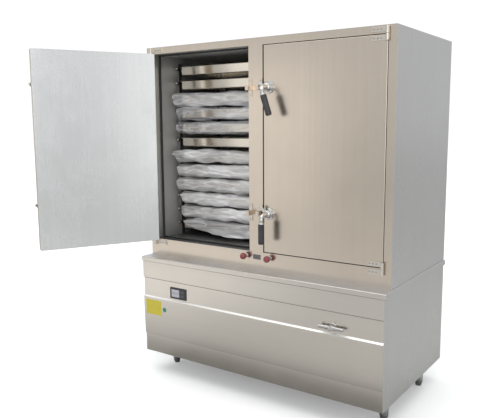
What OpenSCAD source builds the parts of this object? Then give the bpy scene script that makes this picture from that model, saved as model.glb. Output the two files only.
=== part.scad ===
// Double-door tray steam cabinet on a water-heating base, left door standing open.
// Origin on the floor under the centre of the base, +X right, +Y to the back, +Z up, millimetres.

/* [Trays] */
// Length of a tray, across the cabinet
tray_l = 600; // [560:5:640]
// Width of a tray, front to back
tray_w = 400; // [360:5:440]
// Depth of a tray
tray_h = 48; // [30:1:60]
// Thickness of the tray sheet
tray_t = 1.5; // [1:0.25:2]
// Width of the flat rim of a tray
tray_rim = 9; // [8:0.5:12]
// How much narrower a tray is at its floor, each side
tray_draft = 4; // [2:0.5:12]
// Corner radius of a tray at its floor
tray_floor_r = 10; // [6:1:40]
// Rise from one tray to the next
tray_pitch = 78; // [66:1:100]
// Room above the top tray
head_room = 52; // [30:1:90]
// Room under the lowest tray
foot_room = 31; // [22:1:60]
// Room between the door lip and the trays
front_room = 130; // [60:5:180]
// Room behind the trays
rear_room = 68; // [30:1:120]
// Gap between a tray and the door lip, each side
tray_gap = 3; // [2:0.5:8]

/* [Tray racks] */
// Width of the runner leg that carries a tray rim
runner_w = 12; // [10:0.5:13]
// Height of the upright leg of a runner
runner_h = 18; // [12:1:24]
// Thickness of the runner angle
runner_t = 2; // [1.5:0.25:3]
// Gap between a runner and the wall of its tray
runner_gap = 3; // [2:0.5:5]
// How far a runner stands past the tray, front and back
runner_over = 10; // [0:1:25]
// Width of a rack post
post_w = 25; // [16:1:40]
// Distance from a runner end to its post
post_in = 24; // [10:1:60]
// How far a post stands above the top runner
post_over = 20; // [5:1:28]
// Hook gap between a runner and its post
hook_gap = 0.2; // [0.1:0.05:0.3]
// Gap under a tray rim
rest_gap = 0.3; // [0.2:0.05:0.5]

/* [Doorways] */
// Width of the mullion between the doorways
mullion_w = 80; // [70:1:120]
// Width of each outer stile
stile_w = 38; // [30:1:60]
// Height of the rail above the doors
top_rail_h = 35; // [33:1:60]
// Height of the rail below the doors
bottom_rail_h = 90; // [85:1:140]
// Depth of the door rebate
jamb_d = 60; // [56:1:80]
// Width of the lip that carries the door seal
lip_w = 8; // [6:0.5:14]

/* [Casing] */
// Thickness of the sheet steel
sheet_t = 2; // [1:0.25:3]
// Foam behind the steam chambers
rear_foam = 54; // [30:1:90]

/* [Doors] */
// Thickness of a door
door_t = 50; // [40:1:52]
// Gap round a door at its hinge edge, top and bottom
door_gap = 3; // [2:0.5:5]
// Gap at the free edge, where the inner corner swings past the mullion
free_gap = 5; // [4.5:0.5:8]
// Angle at which the left door stands open
door_open = 118; // [0:1:170]
// Gap between a closed door and its seal
seal_gap = 0.3; // [0.2:0.05:0.5]

/* [Hinges] */
// Length of a hinge plate
hinge_l = 70; // [50:1:100]
// Height of a hinge plate
hinge_h = 22; // [16:1:24]
// Thickness of a hinge plate
hinge_t = 4; // [3:0.5:6]
// Distance from a hinge plate to the edge of its rail or door
hinge_edge = 4; // [2:0.5:6]
// Radius of a hinge knuckle
knuckle_r = 8; // [6:0.5:10]
// Radius of a hinge pin
pin_r = 4; // [3:0.25:5]
// Running clearance round a hinge pin
pin_gap = 0.05; // [0.03:0.01:0.1]
// Distance from the pin axis to the side of the doorway
pivot_in = 2; // [1:0.5:4]
// End gap between the two knuckles
knuckle_gap = 1; // [0.5:0.25:1.5]

/* [Latches] */
// Distance from the mullion edge to a latch spindle
latch_in = 35; // [34:1:42]
// Height of the lower latch above the doorway sill
latch_low = 194; // [170:1:300]
// Distance of the upper latch below the doorway lintel
latch_high = 197; // [120:1:300]
// Radius of the round plate under a latch
rosette_r = 29; // [22:1:34]
// Thickness of the round plate
rosette_t = 6; // [3:0.5:8]
// Radius of the spindle boss
boss_r = 18; // [12:1:20]
// Length of the spindle boss
boss_l = 13.5; // [8:0.5:16]
// Radius of the spindle
spindle_r = 7; // [5:0.5:9]
// Running clearance round the spindle
spindle_gap = 0.05; // [0.03:0.01:0.1]
// How far the spindle reaches into the door
spindle_in = 30; // [15:1:34]
// End gap between boss and latch tongue
tongue_gap = 0.5; // [0.3:0.1:1]
// Length of the latch tongue from the spindle axis
tongue_l = 49; // [47:0.5:53]
// Width of the latch tongue
tongue_w = 14; // [10:0.5:16]
// Thickness of the hub that carries the latch tongue
tongue_t = 8; // [5:0.5:10]
// How far the hub stands past the tongue, front and back
hub_lip_t = 0.5; // [0.3:0.1:1]
// Turn of the handle that drops the tongue into its keeper
latch_throw = 45; // [40:1:60]
// Rest lean of the upper right handle
handle_lean = 19; // [0:1:20]
// Radius of the handle neck
neck_r = 11; // [8:0.5:13]
// Length of the straight handle neck
neck_l = 18; // [12:1:45]
// Radius of the handle rod
rod_r = 10; // [8:0.5:11]
// Radius of the bend from neck to grip
bend_r = 23; // [18:1:35]
// Radius of the grip
grip_r = 15; // [12:0.5:18]
// Length of the grip
grip_l = 97; // [80:1:130]
// Chamfer of the lower end of the grip
grip_edge = 3; // [1:0.5:6]
// Length of bare rod above the grip
grip_drop = 18; // [5:1:24]

/* [Keepers] */
// Height of a keeper plate
keeper_h = 84; // [44:1:90]
// Height of the keeper hook
hook_h = 24; // [18:1:30]
// Thickness of a keeper plate
keeper_t = 3; // [2:0.5:5]
// Thickness of the keeper web
web_t = 4; // [3:0.5:6]
// Thickness of the keeper hook
hook_t = 5; // [3:0.5:7]
// Clearance between tongue and keeper
keeper_gap = 2.5; // [1:0.5:4]

/* [Steam dampers] */
// Distance of the left damper rod from the middle of the cabinet
damper_left_x = 62; // [30:1:120]
// Distance of the right damper rod from the middle of the cabinet
damper_right_x = 77; // [30:1:120]
// Height of the damper rods above the countertop
damper_z = 65; // [40:1:72]
// Radius of a damper rod
damper_r = 5; // [4:0.5:7]
// Running clearance round a damper rod
damper_gap = 0.1; // [0.05:0.01:0.1]
// Radius of the ball knob
ball_r = 16.5; // [11:0.5:18]
// Distance of the ball knob from the front face
ball_out = 25.5; // [22:0.5:50]
// Thickness of the sliding gate
gate_t = 4; // [3:0.5:6]
// Clearance round the gate in its slot
gate_gap = 0.5; // [0.3:0.1:0.8]
// Distance of each steam riser from the middle of the cabinet
riser_x = 90; // [80:1:120]
// Distance of the steam risers behind the front face
riser_y = 160; // [150:1:260]
// Radius of a steam riser
riser_r = 25; // [20:1:30]
// Wall of a steam riser
riser_wall = 3; // [2.5:0.25:4]
// Bar at the front of a gate, which carries the rod
gate_bar = 12; // [8:1:16]
// Length of a gate ahead of the riser axis
gate_l = 45; // [38:1:48]

/* [Base] */
// How far the base stands out in front of the doors
ledge_d = 76; // [60:1:120]
// Height of the base
base_h = 535; // [500:5:620]
// Height of the rolled countertop edge
lip_h = 26; // [16:1:40]
// How far the countertop edge stands out in front
lip_front = 3; // [2.5:0.5:12]
// How far the countertop edge stands out at the sides
lip_side = 8; // [4:0.5:20]
// Height of the apron under the countertop
apron_h = 115; // [80:1:120]
// Height of the control strip
strip_h = 102; // [95:1:130]
// How far the control strip is set back
strip_set = 8; // [4:0.5:10]
// How far the control strip reaches up behind the apron
strip_lap = 10; // [4:1:20]
// Height of the leaning lower panel
panel_h = 218; // [150:1:240]
// How far the lower panel leans back
panel_lean = 6; // [2:0.5:12]
// How far the kick strip is set back below the lower panel
kick_set = 6; // [3:0.5:20]
// Width of the square frame tubes
tube_w = 30; // [20:1:40]

/* [Feet] */
// Height of the feet
foot_h = 118; // [95:1:160]
// Radius of a foot
foot_r = 21; // [16:1:30]
// Radius of the flat sole
sole_r = 15; // [10:1:15]
// Height of the tapered end
toe_h = 26; // [15:1:40]
// Radius of the foot flange
flange_r = 40; // [32:1:55]
// Thickness of the foot flange
flange_t = 5; // [3:0.5:8]
// Distance of the feet from the sides of the base
foot_side = 65; // [60:1:120]
// Distance of the front feet from the front of the base
foot_front = 188; // [60:1:240]
// Distance of the rear feet from the back of the base
foot_rear = 141; // [60:1:200]

/* [Water tank] */
// Length of the water tank
tank_l = 1100; // [1060:10:1200]
// Width of the water tank, front to back
tank_w = 600; // [560:5:620]
// Depth of the water tank
tank_h = 145; // [130:1:180]
// Distance of the tank from the front of the base
tank_front = 57; // [56:1:80]
// Room between the tank lid and the countertop
tank_room = 19; // [10:1:30]
// Radius of a heater tube
heater_r = 6; // [4:0.5:8]
// Bend radius of a heater hairpin
hairpin_r = 30; // [20:1:40]
// Length of a heater inside the tank
heater_l = 480; // [300:10:520]
// Distance between the heaters
heater_pitch = 280; // [120:10:300]
// Height of the heaters above the tank floor
heater_z = 50; // [46:1:70]
// Radius of a heater flange
heater_flange_r = 45; // [44:1:55]
// Thickness of a heater flange
heater_flange_t = 6; // [4:0.5:10]
// Length of the heater terminals outside the flange
terminal_l = 22; // [10:1:40]
// Clearance of tubes and pipes in the sheets that they pass
pass_gap = 0.3; // [0.2:0.05:0.6]

/* [Controls] */
// Distance of the control panel left of the middle of the cabinet
bezel_x = 455; // [380:1:500]
// Width of the control bezel
bezel_w = 110; // [106:1:120]
// Height of the control bezel
bezel_h = 61; // [58:1:66]
// Distance of the control bezel centre below the top of the strip
bezel_drop = 63; // [60:1:65]
// How far the control bezel stands out
bezel_t = 5; // [3:0.5:8]
// Width of the bezel edge that laps over the panel
bezel_lap = 4.5; // [3:0.5:6]
// Wall of the bezel neck
neck_wall = 2; // [1.5:0.25:2.5]
// Length of the bezel neck behind the panel face
neck_d = 4; // [3:0.5:5]
// Width of the display window
window_w = 54; // [40:1:56]
// Height of the display window
window_h = 41; // [30:1:42]
// Distance of the display centre from the bezel centre
window_x = 17.5; // [16:0.5:19]
// Thickness of the shoulder behind the display and the keys
shoulder_t = 1.6; // [1:0.2:2]
// Width of the shoulder behind the display and the keys
shoulder_w = 1.5; // [1:0.1:1.6]
// Width of a key
key_w = 24; // [16:1:26]
// Height of a key
key_h = 15; // [10:1:15]
// Distance of the keys from the bezel centre
key_x = 30; // [28:0.5:33]
// Distance between the key centres
key_pitch = 21; // [19:0.5:22]
// How far a key stands out of the bezel
key_out = 1; // [0.6:0.1:2]
// Clearance round the display and the keys
key_gap = 0.3; // [0.2:0.05:0.4]
// Room behind a key for its travel
key_room = 1.6; // [1.5:0.1:2.5]
// Depth of the control box
box_d = 40; // [30:1:44]
// Room between the bezel and the walls of the control box
box_room = 14; // [8:1:15]
// Thickness of the circuit board
board_t = 1.6; // [1:0.1:2]

/* [Drain] */
// Distance of the drain right of the middle of the cabinet
drain_x = 457; // [380:1:480]
// Distance of the drain behind the front of the base
drain_y = 97; // [92:1:130]
// Half width of the drain valve body
cock_half = 27; // [22:1:32]
// Radius of the drain plug
plug_r = 15; // [14:0.5:18]
// Running clearance of plug and stem
plug_gap = 0.05; // [0.03:0.01:0.1]
// Radius of the drain bore
drain_bore_r = 10; // [7:0.5:10]
// Radius of the drain pipe
drain_pipe_r = 14; // [13:0.5:15]
// Radius of the hose tail at the end of the drain pipe
tail_r = 16; // [15.5:0.5:18]
// Length of the hose tail
tail_l = 22; // [12:1:40]
// Thickness of the front wall of the drain valve
cock_wall = 8; // [5:0.5:12]
// Distance of the plug axis below the tank
plug_drop = 20; // [20:0.5:26]
// Radius of the retaining washer
washer_r = 19; // [18:0.5:22]
// Thickness of the retaining washer
washer_t = 3; // [2:0.5:5]
// Radius of the handle stem
stem_r = 6; // [5:0.5:8]
// Distance of the T-bar from the control strip
bar_out = 20; // [19:1:50]
// Length of the T-bar
bar_l = 126; // [90:1:140]
// Radius of the T-bar
bar_r = 8; // [5:0.5:9]
// Radius of the T-handle hub
hub_r = 12; // [10:0.5:16]
// Length of the T-handle hub
hub_l = 20; // [16:1:26]
// How far the drain pipe stands below the base
drain_out = 28; // [15:1:50]

/* [Services] */
// Distance of the water inlet right of the middle of the cabinet
inlet_x = 500; // [480:1:520]
// Height of the water inlet above the base floor
inlet_z = 190; // [100:1:240]
// Radius of the inlet thread
inlet_r = 10.5; // [8:0.1:13.5]
// Length of the inlet thread past its locknut
inlet_l = 18; // [12:1:40]
// Radius of the inlet locknut
inlet_nut_r = 17; // [15:0.5:22]
// Thickness of the inlet locknut
inlet_nut_t = 7; // [4:0.5:10]
// Half width of the inlet valve body
valve_half = 22; // [16:1:30]
// Depth of the inlet valve body
valve_d = 50; // [30:1:70]
// Radius of the valve coil
coil_r = 17; // [12:1:20]
// Length of the valve coil
coil_l = 46; // [30:1:60]
// Radius of the fill pipe
fill_r = 8; // [6:0.5:10]
// Distance of the fill pipe below the tank rim
fill_drop = 30; // [20:1:50]
// Distance of the cable gland left of the middle of the cabinet
gland_x = 500; // [300:1:560]
// Height of the cable gland above the base floor
gland_z = 140; // [60:1:240]
// Bore radius of the cable gland
gland_bore_r = 7; // [5:0.5:9]
// Radius of the gland thread
gland_r = 10; // [9.5:0.5:13]
// Radius of the gland cap and its locknut
gland_cap_r = 15; // [14:0.5:18]
// Length of the gland cap
gland_cap_l = 18; // [12:1:30]
// Length of the gland thread inside the back
gland_in = 12; // [8:1:20]
// Thickness of the gland locknut
gland_nut_t = 5; // [3:0.5:8]

/* [Hidden] */
$fn = 48;
cut = 1;
tray_count = 12;
steel = "#c9c3ba";
side_steel = "#a5a6a4";
pale_steel = "#dcdedd";
liner_steel = "#8d9092";
bright_steel = "#d9dadb";
rubber_black = "#262626";
grip_black = "#1d1d1f";
foam_cream = "#e6dfc4";
ball_red = "#7e2f2d";
bezel_black = "#2b2a2b";
glass_grey = "#b9b6bf";
key_grey = "#4b4a4d";
brass_yellow = "#b99a55";
box_grey = "#85888b";

opening_w = tray_l + 2 * (tray_gap + lip_w);
opening_h = foot_room + tray_h + (tray_count - 1) * tray_pitch + head_room;
cabinet_w = 2 * opening_w + mullion_w + 2 * stile_w;
upper_h = bottom_rail_h + opening_h + top_rail_h;
chamber_d = front_room + tray_w + rear_room;
upper_d = jamb_d + 2 * sheet_t + chamber_d + rear_foam + sheet_t;
base_d = upper_d + ledge_d;
half_w = cabinet_w / 2;
inner_half = half_w - sheet_t;
base_front = -base_d / 2;
back_y = base_d / 2;
back_in = back_y - sheet_t;
front_y = base_front + ledge_d;
counter_z = foot_h + base_h;
plate_z = counter_z - sheet_t;
sill_z = counter_z + bottom_rail_h;
lintel_z = sill_z + opening_h;
top_z = counter_z + upper_h;
chamber_x = mullion_w / 2 + opening_w / 2;
chamber_y = front_y + jamb_d + sheet_t;
chamber_back = chamber_y + chamber_d;
tray_y = chamber_y + front_room + tray_w / 2;
tray_body = [tray_l / 2 - tray_rim, tray_w / 2 - tray_rim];
rim_r = tray_floor_r + tray_draft + tray_rim;
runner_x = tray_body[0] + runner_gap;
runner_half = tray_w / 2 + runner_over;
post_x = runner_x + runner_w + hook_gap;

door_x0 = mullion_w / 2 + free_gap;
door_x1 = mullion_w / 2 + opening_w - door_gap;
door_z0 = sill_z + door_gap;
door_z1 = lintel_z - door_gap;
door_back = front_y + door_t;
pivot_x = mullion_w / 2 + opening_w - pivot_in;
pivot_y = front_y - hinge_t - knuckle_r;
spindle_x = mullion_w / 2 + latch_in;
latch_heights = [lintel_z - latch_high, sill_z + latch_low];
boss_out = rosette_t + boss_l;
tongue_in = boss_out + tongue_gap;
tongue_out = tongue_in + tongue_t;
bend_out = tongue_out + neck_l;
rod_out = bend_out + bend_r;
grip_top = bend_r + grip_drop;
web_x1 = spindle_x - tongue_l - keeper_gap;
web_x0 = web_x1 - web_t;
hook_in = tongue_out + keeper_gap;

gate_r = riser_r - riser_wall + gate_gap;
damper_row = counter_z + damper_z;
tank_x = tank_l / 2;
tank_y0 = base_front + tank_front;
tank_y1 = tank_y0 + tank_w;
tank_z1 = plate_z - tank_room - sheet_t;
tank_z0 = tank_z1 - tank_h;
floor_z = foot_h + sheet_t;
seam_z = counter_z - apron_h;
bend_z = seam_z - strip_h;
kick_z = bend_z - panel_h;
strip_y = base_front + strip_set;
kick_y = base_front + panel_lean + kick_set;
strip_back = strip_y + sheet_t;
control_z = seam_z - bezel_drop;
bezel_front = strip_y - bezel_t;
key_back = strip_y + shoulder_t + key_gap + neck_d;
cock = [drain_x, base_front + drain_y, tank_z0 - plug_drop];
bar_y0 = strip_y - bar_out;
feet_x = half_w - foot_side;
feet_y = [base_front + foot_front, back_y - foot_rear];

function tray_top(level) = lintel_z - head_room - (level - 1) * tray_pitch;
function runner_top(level) = tray_top(level) - tray_t - rest_gap;

// Box between two opposite corners
module slab(low, high) {
    translate(low) cube(high - low);
}

// Round bars that start at a point and run along +X, +Y or +Z
module bar_x(start, length, radius) {
    translate(start) rotate([0, 90, 0]) cylinder(h = length, r = radius);
}

module bar_y(start, length, radius) {
    translate(start) rotate([-90, 0, 0]) cylinder(h = length, r = radius);
}

module bar_z(start, length, radius) {
    translate(start) cylinder(h = length, r = radius);
}

// Upright square tube from one corner of its section
module tube_z(corner, length) {
    wall = [sheet_t, sheet_t, 0];
    difference() {
        slab(corner, corner + [tube_w, tube_w, length]);
        slab(corner + wall - [0, 0, cut], corner - wall + [tube_w, tube_w, length + cut]);
    }
}

// Both sides of the cabinet, the right one as drawn
module both_sides() {
    children();
    mirror([1, 0, 0]) children();
}

// The left door's place: the right door mirrored and swung open on its pivot
module on_left_door() {
    pivot = [-pivot_x, pivot_y, 0];
    translate(pivot) rotate([0, 0, -door_open]) translate(-pivot) mirror([1, 0, 0]) children();
}

// Upper casing
module upper_shell() {
    color(side_steel) union() {
        both_sides() slab([inner_half, front_y, counter_z], [half_w, back_y, top_z]);
        slab([-half_w, front_y, top_z - sheet_t], [half_w, back_y, top_z]);
    }
}

module upper_back() {
    color(side_steel) slab([-inner_half, back_in, counter_z], [inner_half, back_y, top_z - sheet_t]);
}

// Right doorway as a block, grown by a margin on its four sides
module doorway(y0, y1, margin) {
    slab([mullion_w / 2 - margin, y0, sill_z - margin],
        [mullion_w / 2 + opening_w + margin, y1, lintel_z + margin]);
}

// Front sheet, rebate walls and seal lips round both doorways
module face_frame() {
    lip_y = front_y + jamb_d;
    color(steel) difference() {
        union() {
            slab([-inner_half, front_y, counter_z], [inner_half, front_y + sheet_t, top_z - sheet_t]);
            both_sides() doorway(front_y + sheet_t, chamber_y, sheet_t);
        }
        both_sides() doorway(front_y - cut, lip_y, 0);
        both_sides() doorway(lip_y - cut, chamber_y + cut, -lip_w);
        bar_y([-damper_left_x, front_y - cut, damper_row], sheet_t + 2 * cut, damper_r + damper_gap);
        bar_y([damper_right_x, front_y - cut, damper_row], sheet_t + 2 * cut, damper_r + damper_gap);
    }
}

// Steam chamber lining of the right side, open to the front, with its steam port in the floor
module chamber_liner() {
    difference() {
        doorway(chamber_y, chamber_back + sheet_t, sheet_t);
        doorway(chamber_y - cut, chamber_back, 0);
        bar_z([riser_x, front_y + riser_y, sill_z - sheet_t - cut], sheet_t + 2 * cut, riser_r - riser_wall);
    }
}

module left_chamber() {
    color(liner_steel) mirror([1, 0, 0]) chamber_liner();
}

module right_chamber() {
    color(liner_steel) chamber_liner();
}

// Foam poured round both chambers
module insulation() {
    color(foam_cream) difference() {
        slab([-inner_half, chamber_y, sill_z], [inner_half, back_in, top_z - sheet_t]);
        both_sides() doorway(chamber_y - cut, chamber_back + sheet_t, sheet_t);
    }
}

module door_seals() {
    color(rubber_black) both_sides() difference() {
        doorway(door_back + seal_gap, front_y + jamb_d, -seal_gap);
        doorway(door_back, front_y + jamb_d + cut, -lip_w);
    }
}

// Angle runner on the right wall of a chamber that is centred on x = 0
module runner(level) {
    top = runner_top(level);
    outer = runner_x + runner_w;
    y0 = tray_y - runner_half;
    y1 = tray_y + runner_half;
    slab([runner_x, y0, top - runner_t], [outer, y1, top]);
    slab([outer - runner_t, y0, top - runner_h], [outer, y1, top]);
}

module rack_post(y0) {
    slab([post_x, y0, sill_z], [opening_w / 2, y0 + post_w, runner_top(1) + post_over]);
}

module tray_racks() {
    color(bright_steel) for (side = [-1, 1]) translate([side * chamber_x, 0, 0]) both_sides() {
        for (level = [1 : tray_count]) runner(level);
        rack_post(tray_y - runner_half + post_in);
        rack_post(tray_y + runner_half - post_in - post_w);
    }
}

// Tapered tray body from its floor to a height, inset from the outer wall
module tray_block(z0, z1, inset) {
    slope = tray_draft / tray_h;
    low = (tray_h - z0) * slope + inset;
    high = (tray_h - z1) * slope + inset;
    corner = tray_floor_r + tray_draft;
    core = tray_body - [corner, corner];
    rotate([90, 0, 0]) linear_extrude(height = 2 * core[1], center = true)
        polygon([[low - tray_body[0], z0], [tray_body[0] - low, z0],
            [tray_body[0] - high, z1], [high - tray_body[0], z1]]);
    rotate([90, 0, 90]) linear_extrude(height = 2 * core[0], center = true)
        polygon([[low - tray_body[1], z0], [tray_body[1] - low, z0],
            [tray_body[1] - high, z1], [high - tray_body[1], z1]]);
    for (x = [-core[0], core[0]], y = [-core[1], core[1]])
        translate([x, y, z0]) cylinder(h = z1 - z0, r1 = corner - low, r2 = corner - high);
}

// Flat rim with round corners
module tray_rim_plate() {
    x = tray_l / 2 - rim_r;
    y = tray_w / 2 - rim_r;
    translate([0, 0, tray_h - tray_t]) linear_extrude(height = tray_t) union() {
        square([tray_l, 2 * y], center = true);
        square([2 * x, tray_w], center = true);
        for (i = [-x, x], j = [-y, y]) translate([i, j]) circle(r = rim_r);
    }
}

module tray(level) {
    color(bright_steel) translate([-chamber_x, tray_y, tray_top(level) - tray_h]) difference() {
        union() {
            tray_block(0, tray_h, 0);
            tray_rim_plate();
        }
        tray_block(tray_t, tray_h + cut, tray_t);
    }
}

// Corner hinge: plates on rail and door, and a pin that stands on the rail leaf
module frame_leaf_top() {
    z0 = lintel_z + hinge_edge + door_gap;
    z1 = z0 + hinge_h;
    knuckle_z = lintel_z - door_gap / 2 + knuckle_gap / 2;
    pin_z = door_z1 - hinge_edge - hinge_h;
    slab([pivot_x - hinge_l, front_y - hinge_t, z0], [pivot_x, front_y, z1]);
    slab([pivot_x - knuckle_r, pivot_y, z0], [pivot_x, front_y, z1]);
    bar_z([pivot_x, pivot_y, knuckle_z], z1 - knuckle_z, knuckle_r);
    bar_z([pivot_x, pivot_y, pin_z], z1 - pin_z, pin_r);
}

module door_leaf_top() {
    z1 = door_z1 - hinge_edge;
    z0 = z1 - hinge_h;
    knuckle_z = lintel_z - door_gap / 2 - knuckle_gap / 2;
    difference() {
        union() {
            slab([pivot_x - hinge_l, front_y - hinge_t, z0], [pivot_x, front_y, z1]);
            slab([pivot_x - knuckle_r, pivot_y, z0], [pivot_x, front_y, z1]);
            bar_z([pivot_x, pivot_y, z0], knuckle_z - z0, knuckle_r);
        }
        bar_z([pivot_x, pivot_y, z0 - cut], knuckle_z - z0 + 2 * cut, pin_r + pin_gap);
    }
}

// The lower hinge is the upper one turned upside down about the middle of the doorway
module upside_down() {
    translate([0, 0, sill_z + lintel_z]) mirror([0, 0, 1]) children();
}

module hinge_frame_leaves() {
    color(bright_steel) both_sides() {
        frame_leaf_top();
        upside_down() frame_leaf_top();
    }
}

module door_leaves() {
    door_leaf_top();
    upside_down() door_leaf_top();
}

module left_hinge_leaves() {
    color(bright_steel) on_left_door() door_leaves();
}

module right_hinge_leaves() {
    color(bright_steel) door_leaves();
}

// Right door, closed: a pan-shaped skin, a flat inner sheet and the foam between them
module spindle_pockets(radius, depth) {
    for (z = latch_heights) bar_y([spindle_x, front_y - cut, z], depth + cut, radius);
}

module door_skin() {
    inset = [sheet_t, 0, sheet_t];
    skin_back = door_back - sheet_t;
    difference() {
        slab([door_x0, front_y, door_z0], [door_x1, skin_back, door_z1]);
        slab([door_x0, front_y + sheet_t, door_z0] + inset, [door_x1, skin_back + cut, door_z1] - inset);
        spindle_pockets(spindle_r + pass_gap, sheet_t + cut);
    }
}

module door_liner() {
    slab([door_x0, door_back - sheet_t, door_z0], [door_x1, door_back, door_z1]);
}

module door_core() {
    inset = [sheet_t, 0, sheet_t];
    difference() {
        slab([door_x0, front_y + sheet_t, door_z0] + inset, [door_x1, door_back - sheet_t, door_z1] - inset);
        spindle_pockets(spindle_r + pass_gap, spindle_in + pass_gap);
    }
}

module left_door_skin() {
    color(steel) on_left_door() door_skin();
}

module left_door_liner() {
    color(pale_steel) on_left_door() door_liner();
}

module left_door_core() {
    color(foam_cream) on_left_door() door_core();
}

module right_door_skin() {
    color(steel) door_skin();
}

module right_door_liner() {
    color(pale_steel) door_liner();
}

module right_door_core() {
    color(foam_cream) door_core();
}

// Round plates with the bores in which the latch spindles turn
module rosettes() {
    for (z = latch_heights) translate([spindle_x, front_y, z]) difference() {
        union() {
            bar_y([0, -rosette_t, 0], rosette_t, rosette_r);
            bar_y([0, -boss_out, 0], boss_out, boss_r);
        }
        bar_y([0, -boss_out - cut, 0], boss_out + 2 * cut, spindle_r + spindle_gap);
    }
}

module left_rosettes() {
    color(bright_steel) on_left_door() rosettes();
}

module right_rosettes() {
    color(bright_steel) rosettes();
}

// Place of a right-hand latch on its spindle axis, turned by an angle about it
module at_latch(z, turn) {
    translate([spindle_x, front_y, z]) rotate([0, -turn, 0]) children();
}

// Spindle, tongue and bent handle of a right-hand latch, grip hanging
module lever() {
    bar_y([0, -tongue_out, 0], tongue_out + spindle_in, spindle_r);
    bar_y([0, -tongue_out, 0], tongue_t, boss_r);
    rotate([0, latch_throw, 0])
        slab([-tongue_l, hub_lip_t - tongue_out, -tongue_w / 2], [0, -tongue_in - hub_lip_t, tongue_w / 2]);
    bar_y([0, -bend_out, 0], neck_l, neck_r);
    translate([0, -bend_out, -bend_r]) rotate([90, 0, -90])
        rotate_extrude(angle = 90) translate([bend_r, 0]) circle(r = rod_r);
    bar_z([0, -rod_out, -grip_top - grip_l + grip_r], grip_drop + grip_l - grip_r, rod_r);
}

// Grip sleeve with a chamfered flat lower end, pushed over the rod
module grip() {
    difference() {
        translate([0, -rod_out, -grip_top - grip_l]) rotate_extrude()
            polygon([[0, 0], [grip_r - grip_edge, 0], [grip_r, grip_edge], [grip_r, grip_l], [0, grip_l]]);
        bar_z([0, -rod_out, -grip_top - grip_l + grip_r], grip_l, rod_r);
    }
}

module left_upper_lever() {
    color(bright_steel) on_left_door() at_latch(latch_heights[0], 0) lever();
}

module left_upper_grip() {
    color(grip_black) on_left_door() at_latch(latch_heights[0], 0) grip();
}

module left_lower_lever() {
    color(bright_steel) on_left_door() at_latch(latch_heights[1], 0) lever();
}

module left_lower_grip() {
    color(grip_black) on_left_door() at_latch(latch_heights[1], 0) grip();
}

module right_upper_lever() {
    color(bright_steel) at_latch(latch_heights[0], handle_lean) lever();
}

module right_upper_grip() {
    color(grip_black) at_latch(latch_heights[0], handle_lean) grip();
}

module right_lower_lever() {
    color(bright_steel) at_latch(latch_heights[1], 0) lever();
}

module right_lower_grip() {
    color(grip_black) at_latch(latch_heights[1], 0) grip();
}

// Hooks on the mullion behind which the tongues drop
module latch_keepers() {
    edge = mullion_w / 2;
    color(bright_steel) both_sides() for (z = latch_heights) translate([0, front_y, z]) {
        slab([web_x0, -keeper_t, -keeper_h / 2], [edge, 0, keeper_h / 2]);
        slab([web_x0, -hook_in - hook_t, -hook_h / 2], [web_x1, 0, hook_h / 2]);
        slab([web_x0, -hook_in - hook_t, -hook_h / 2], [edge - keeper_gap, -hook_in, hook_h / 2]);
    }
}

// Steam damper: ball knob, rod and the gate that slides in the riser, for a rod at rod_x
module damper(rod_x) {
    rod_end = riser_y - gate_l + gate_bar / 2;
    gate_x0 = min(riser_x - gate_r, rod_x - damper_r);
    gate_x1 = max(riser_x + gate_r, rod_x + damper_r);
    translate([0, front_y, damper_row]) {
        translate([rod_x, -ball_out, 0]) sphere(r = ball_r);
        bar_y([rod_x, -ball_out, 0], ball_out + rod_end, damper_r);
        bar_z([riser_x, riser_y, -gate_t / 2], gate_t, gate_r);
        slab([riser_x - gate_r, riser_y - gate_l, -gate_t / 2], [riser_x + gate_r, riser_y, gate_t / 2]);
        slab([gate_x0, riser_y - gate_l, -gate_t / 2], [gate_x1, riser_y - gate_l + gate_bar, gate_t / 2]);
    }
}

module left_damper() {
    color(ball_red) mirror([1, 0, 0]) damper(damper_left_x);
}

module right_damper() {
    color(ball_red) damper(damper_right_x);
}

// Countertop with its rolled edge and the apron below the front edge
module countertop() {
    lip_x = half_w + lip_side;
    lip_y = base_front - lip_front;
    lip_z = counter_z - lip_h;
    color(steel) difference() {
        union() {
            slab([-lip_x, lip_y, plate_z], [lip_x, back_y, counter_z]);
            slab([-half_w, base_front, seam_z], [half_w, base_front + sheet_t, plate_z]);
            slab([-lip_x, lip_y, lip_z], [lip_x, lip_y + sheet_t, plate_z]);
            slab([-lip_x, lip_y, lip_z], [lip_x, base_front, lip_z + sheet_t]);
            both_sides() slab([lip_x - sheet_t, lip_y, lip_z], [lip_x, back_y, plate_z]);
            both_sides() slab([half_w, lip_y, lip_z], [lip_x, back_y, lip_z + sheet_t]);
        }
        both_sides() bar_z([riser_x, front_y + riser_y, plate_z - cut], sheet_t + 2 * cut, riser_r + pass_gap);
    }
}

// Side profile of the base front: strip, outward bevel, leaning panel and kick strip
module front_profile(top) {
    lean_y = base_front + panel_lean;
    polygon([[strip_y, top], [strip_y, bend_z], [base_front, bend_z - strip_set], [lean_y, kick_z],
        [kick_y, kick_z], [kick_y, foot_h], [kick_y + sheet_t, foot_h], [kick_y + sheet_t, kick_z + sheet_t],
        [lean_y + sheet_t, kick_z + sheet_t], [base_front + sheet_t, bend_z - strip_set],
        [strip_back, bend_z], [strip_back, top]]);
}

module front_panel() {
    cut_w = bezel_w - 2 * bezel_lap + 2 * pass_gap;
    cut_h = bezel_h - 2 * bezel_lap + 2 * pass_gap;
    color(steel) difference() {
        rotate([90, 0, 90]) linear_extrude(height = 2 * inner_half, center = true)
            front_profile(seam_z + strip_lap);
        slab([-bezel_x - cut_w / 2, strip_y - cut, control_z - cut_h / 2],
            [-bezel_x + cut_w / 2, strip_back + cut, control_z + cut_h / 2]);
        bar_y([cock[0], strip_y - cut, cock[2]], sheet_t + 2 * cut, stem_r + pass_gap);
    }
}

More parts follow.
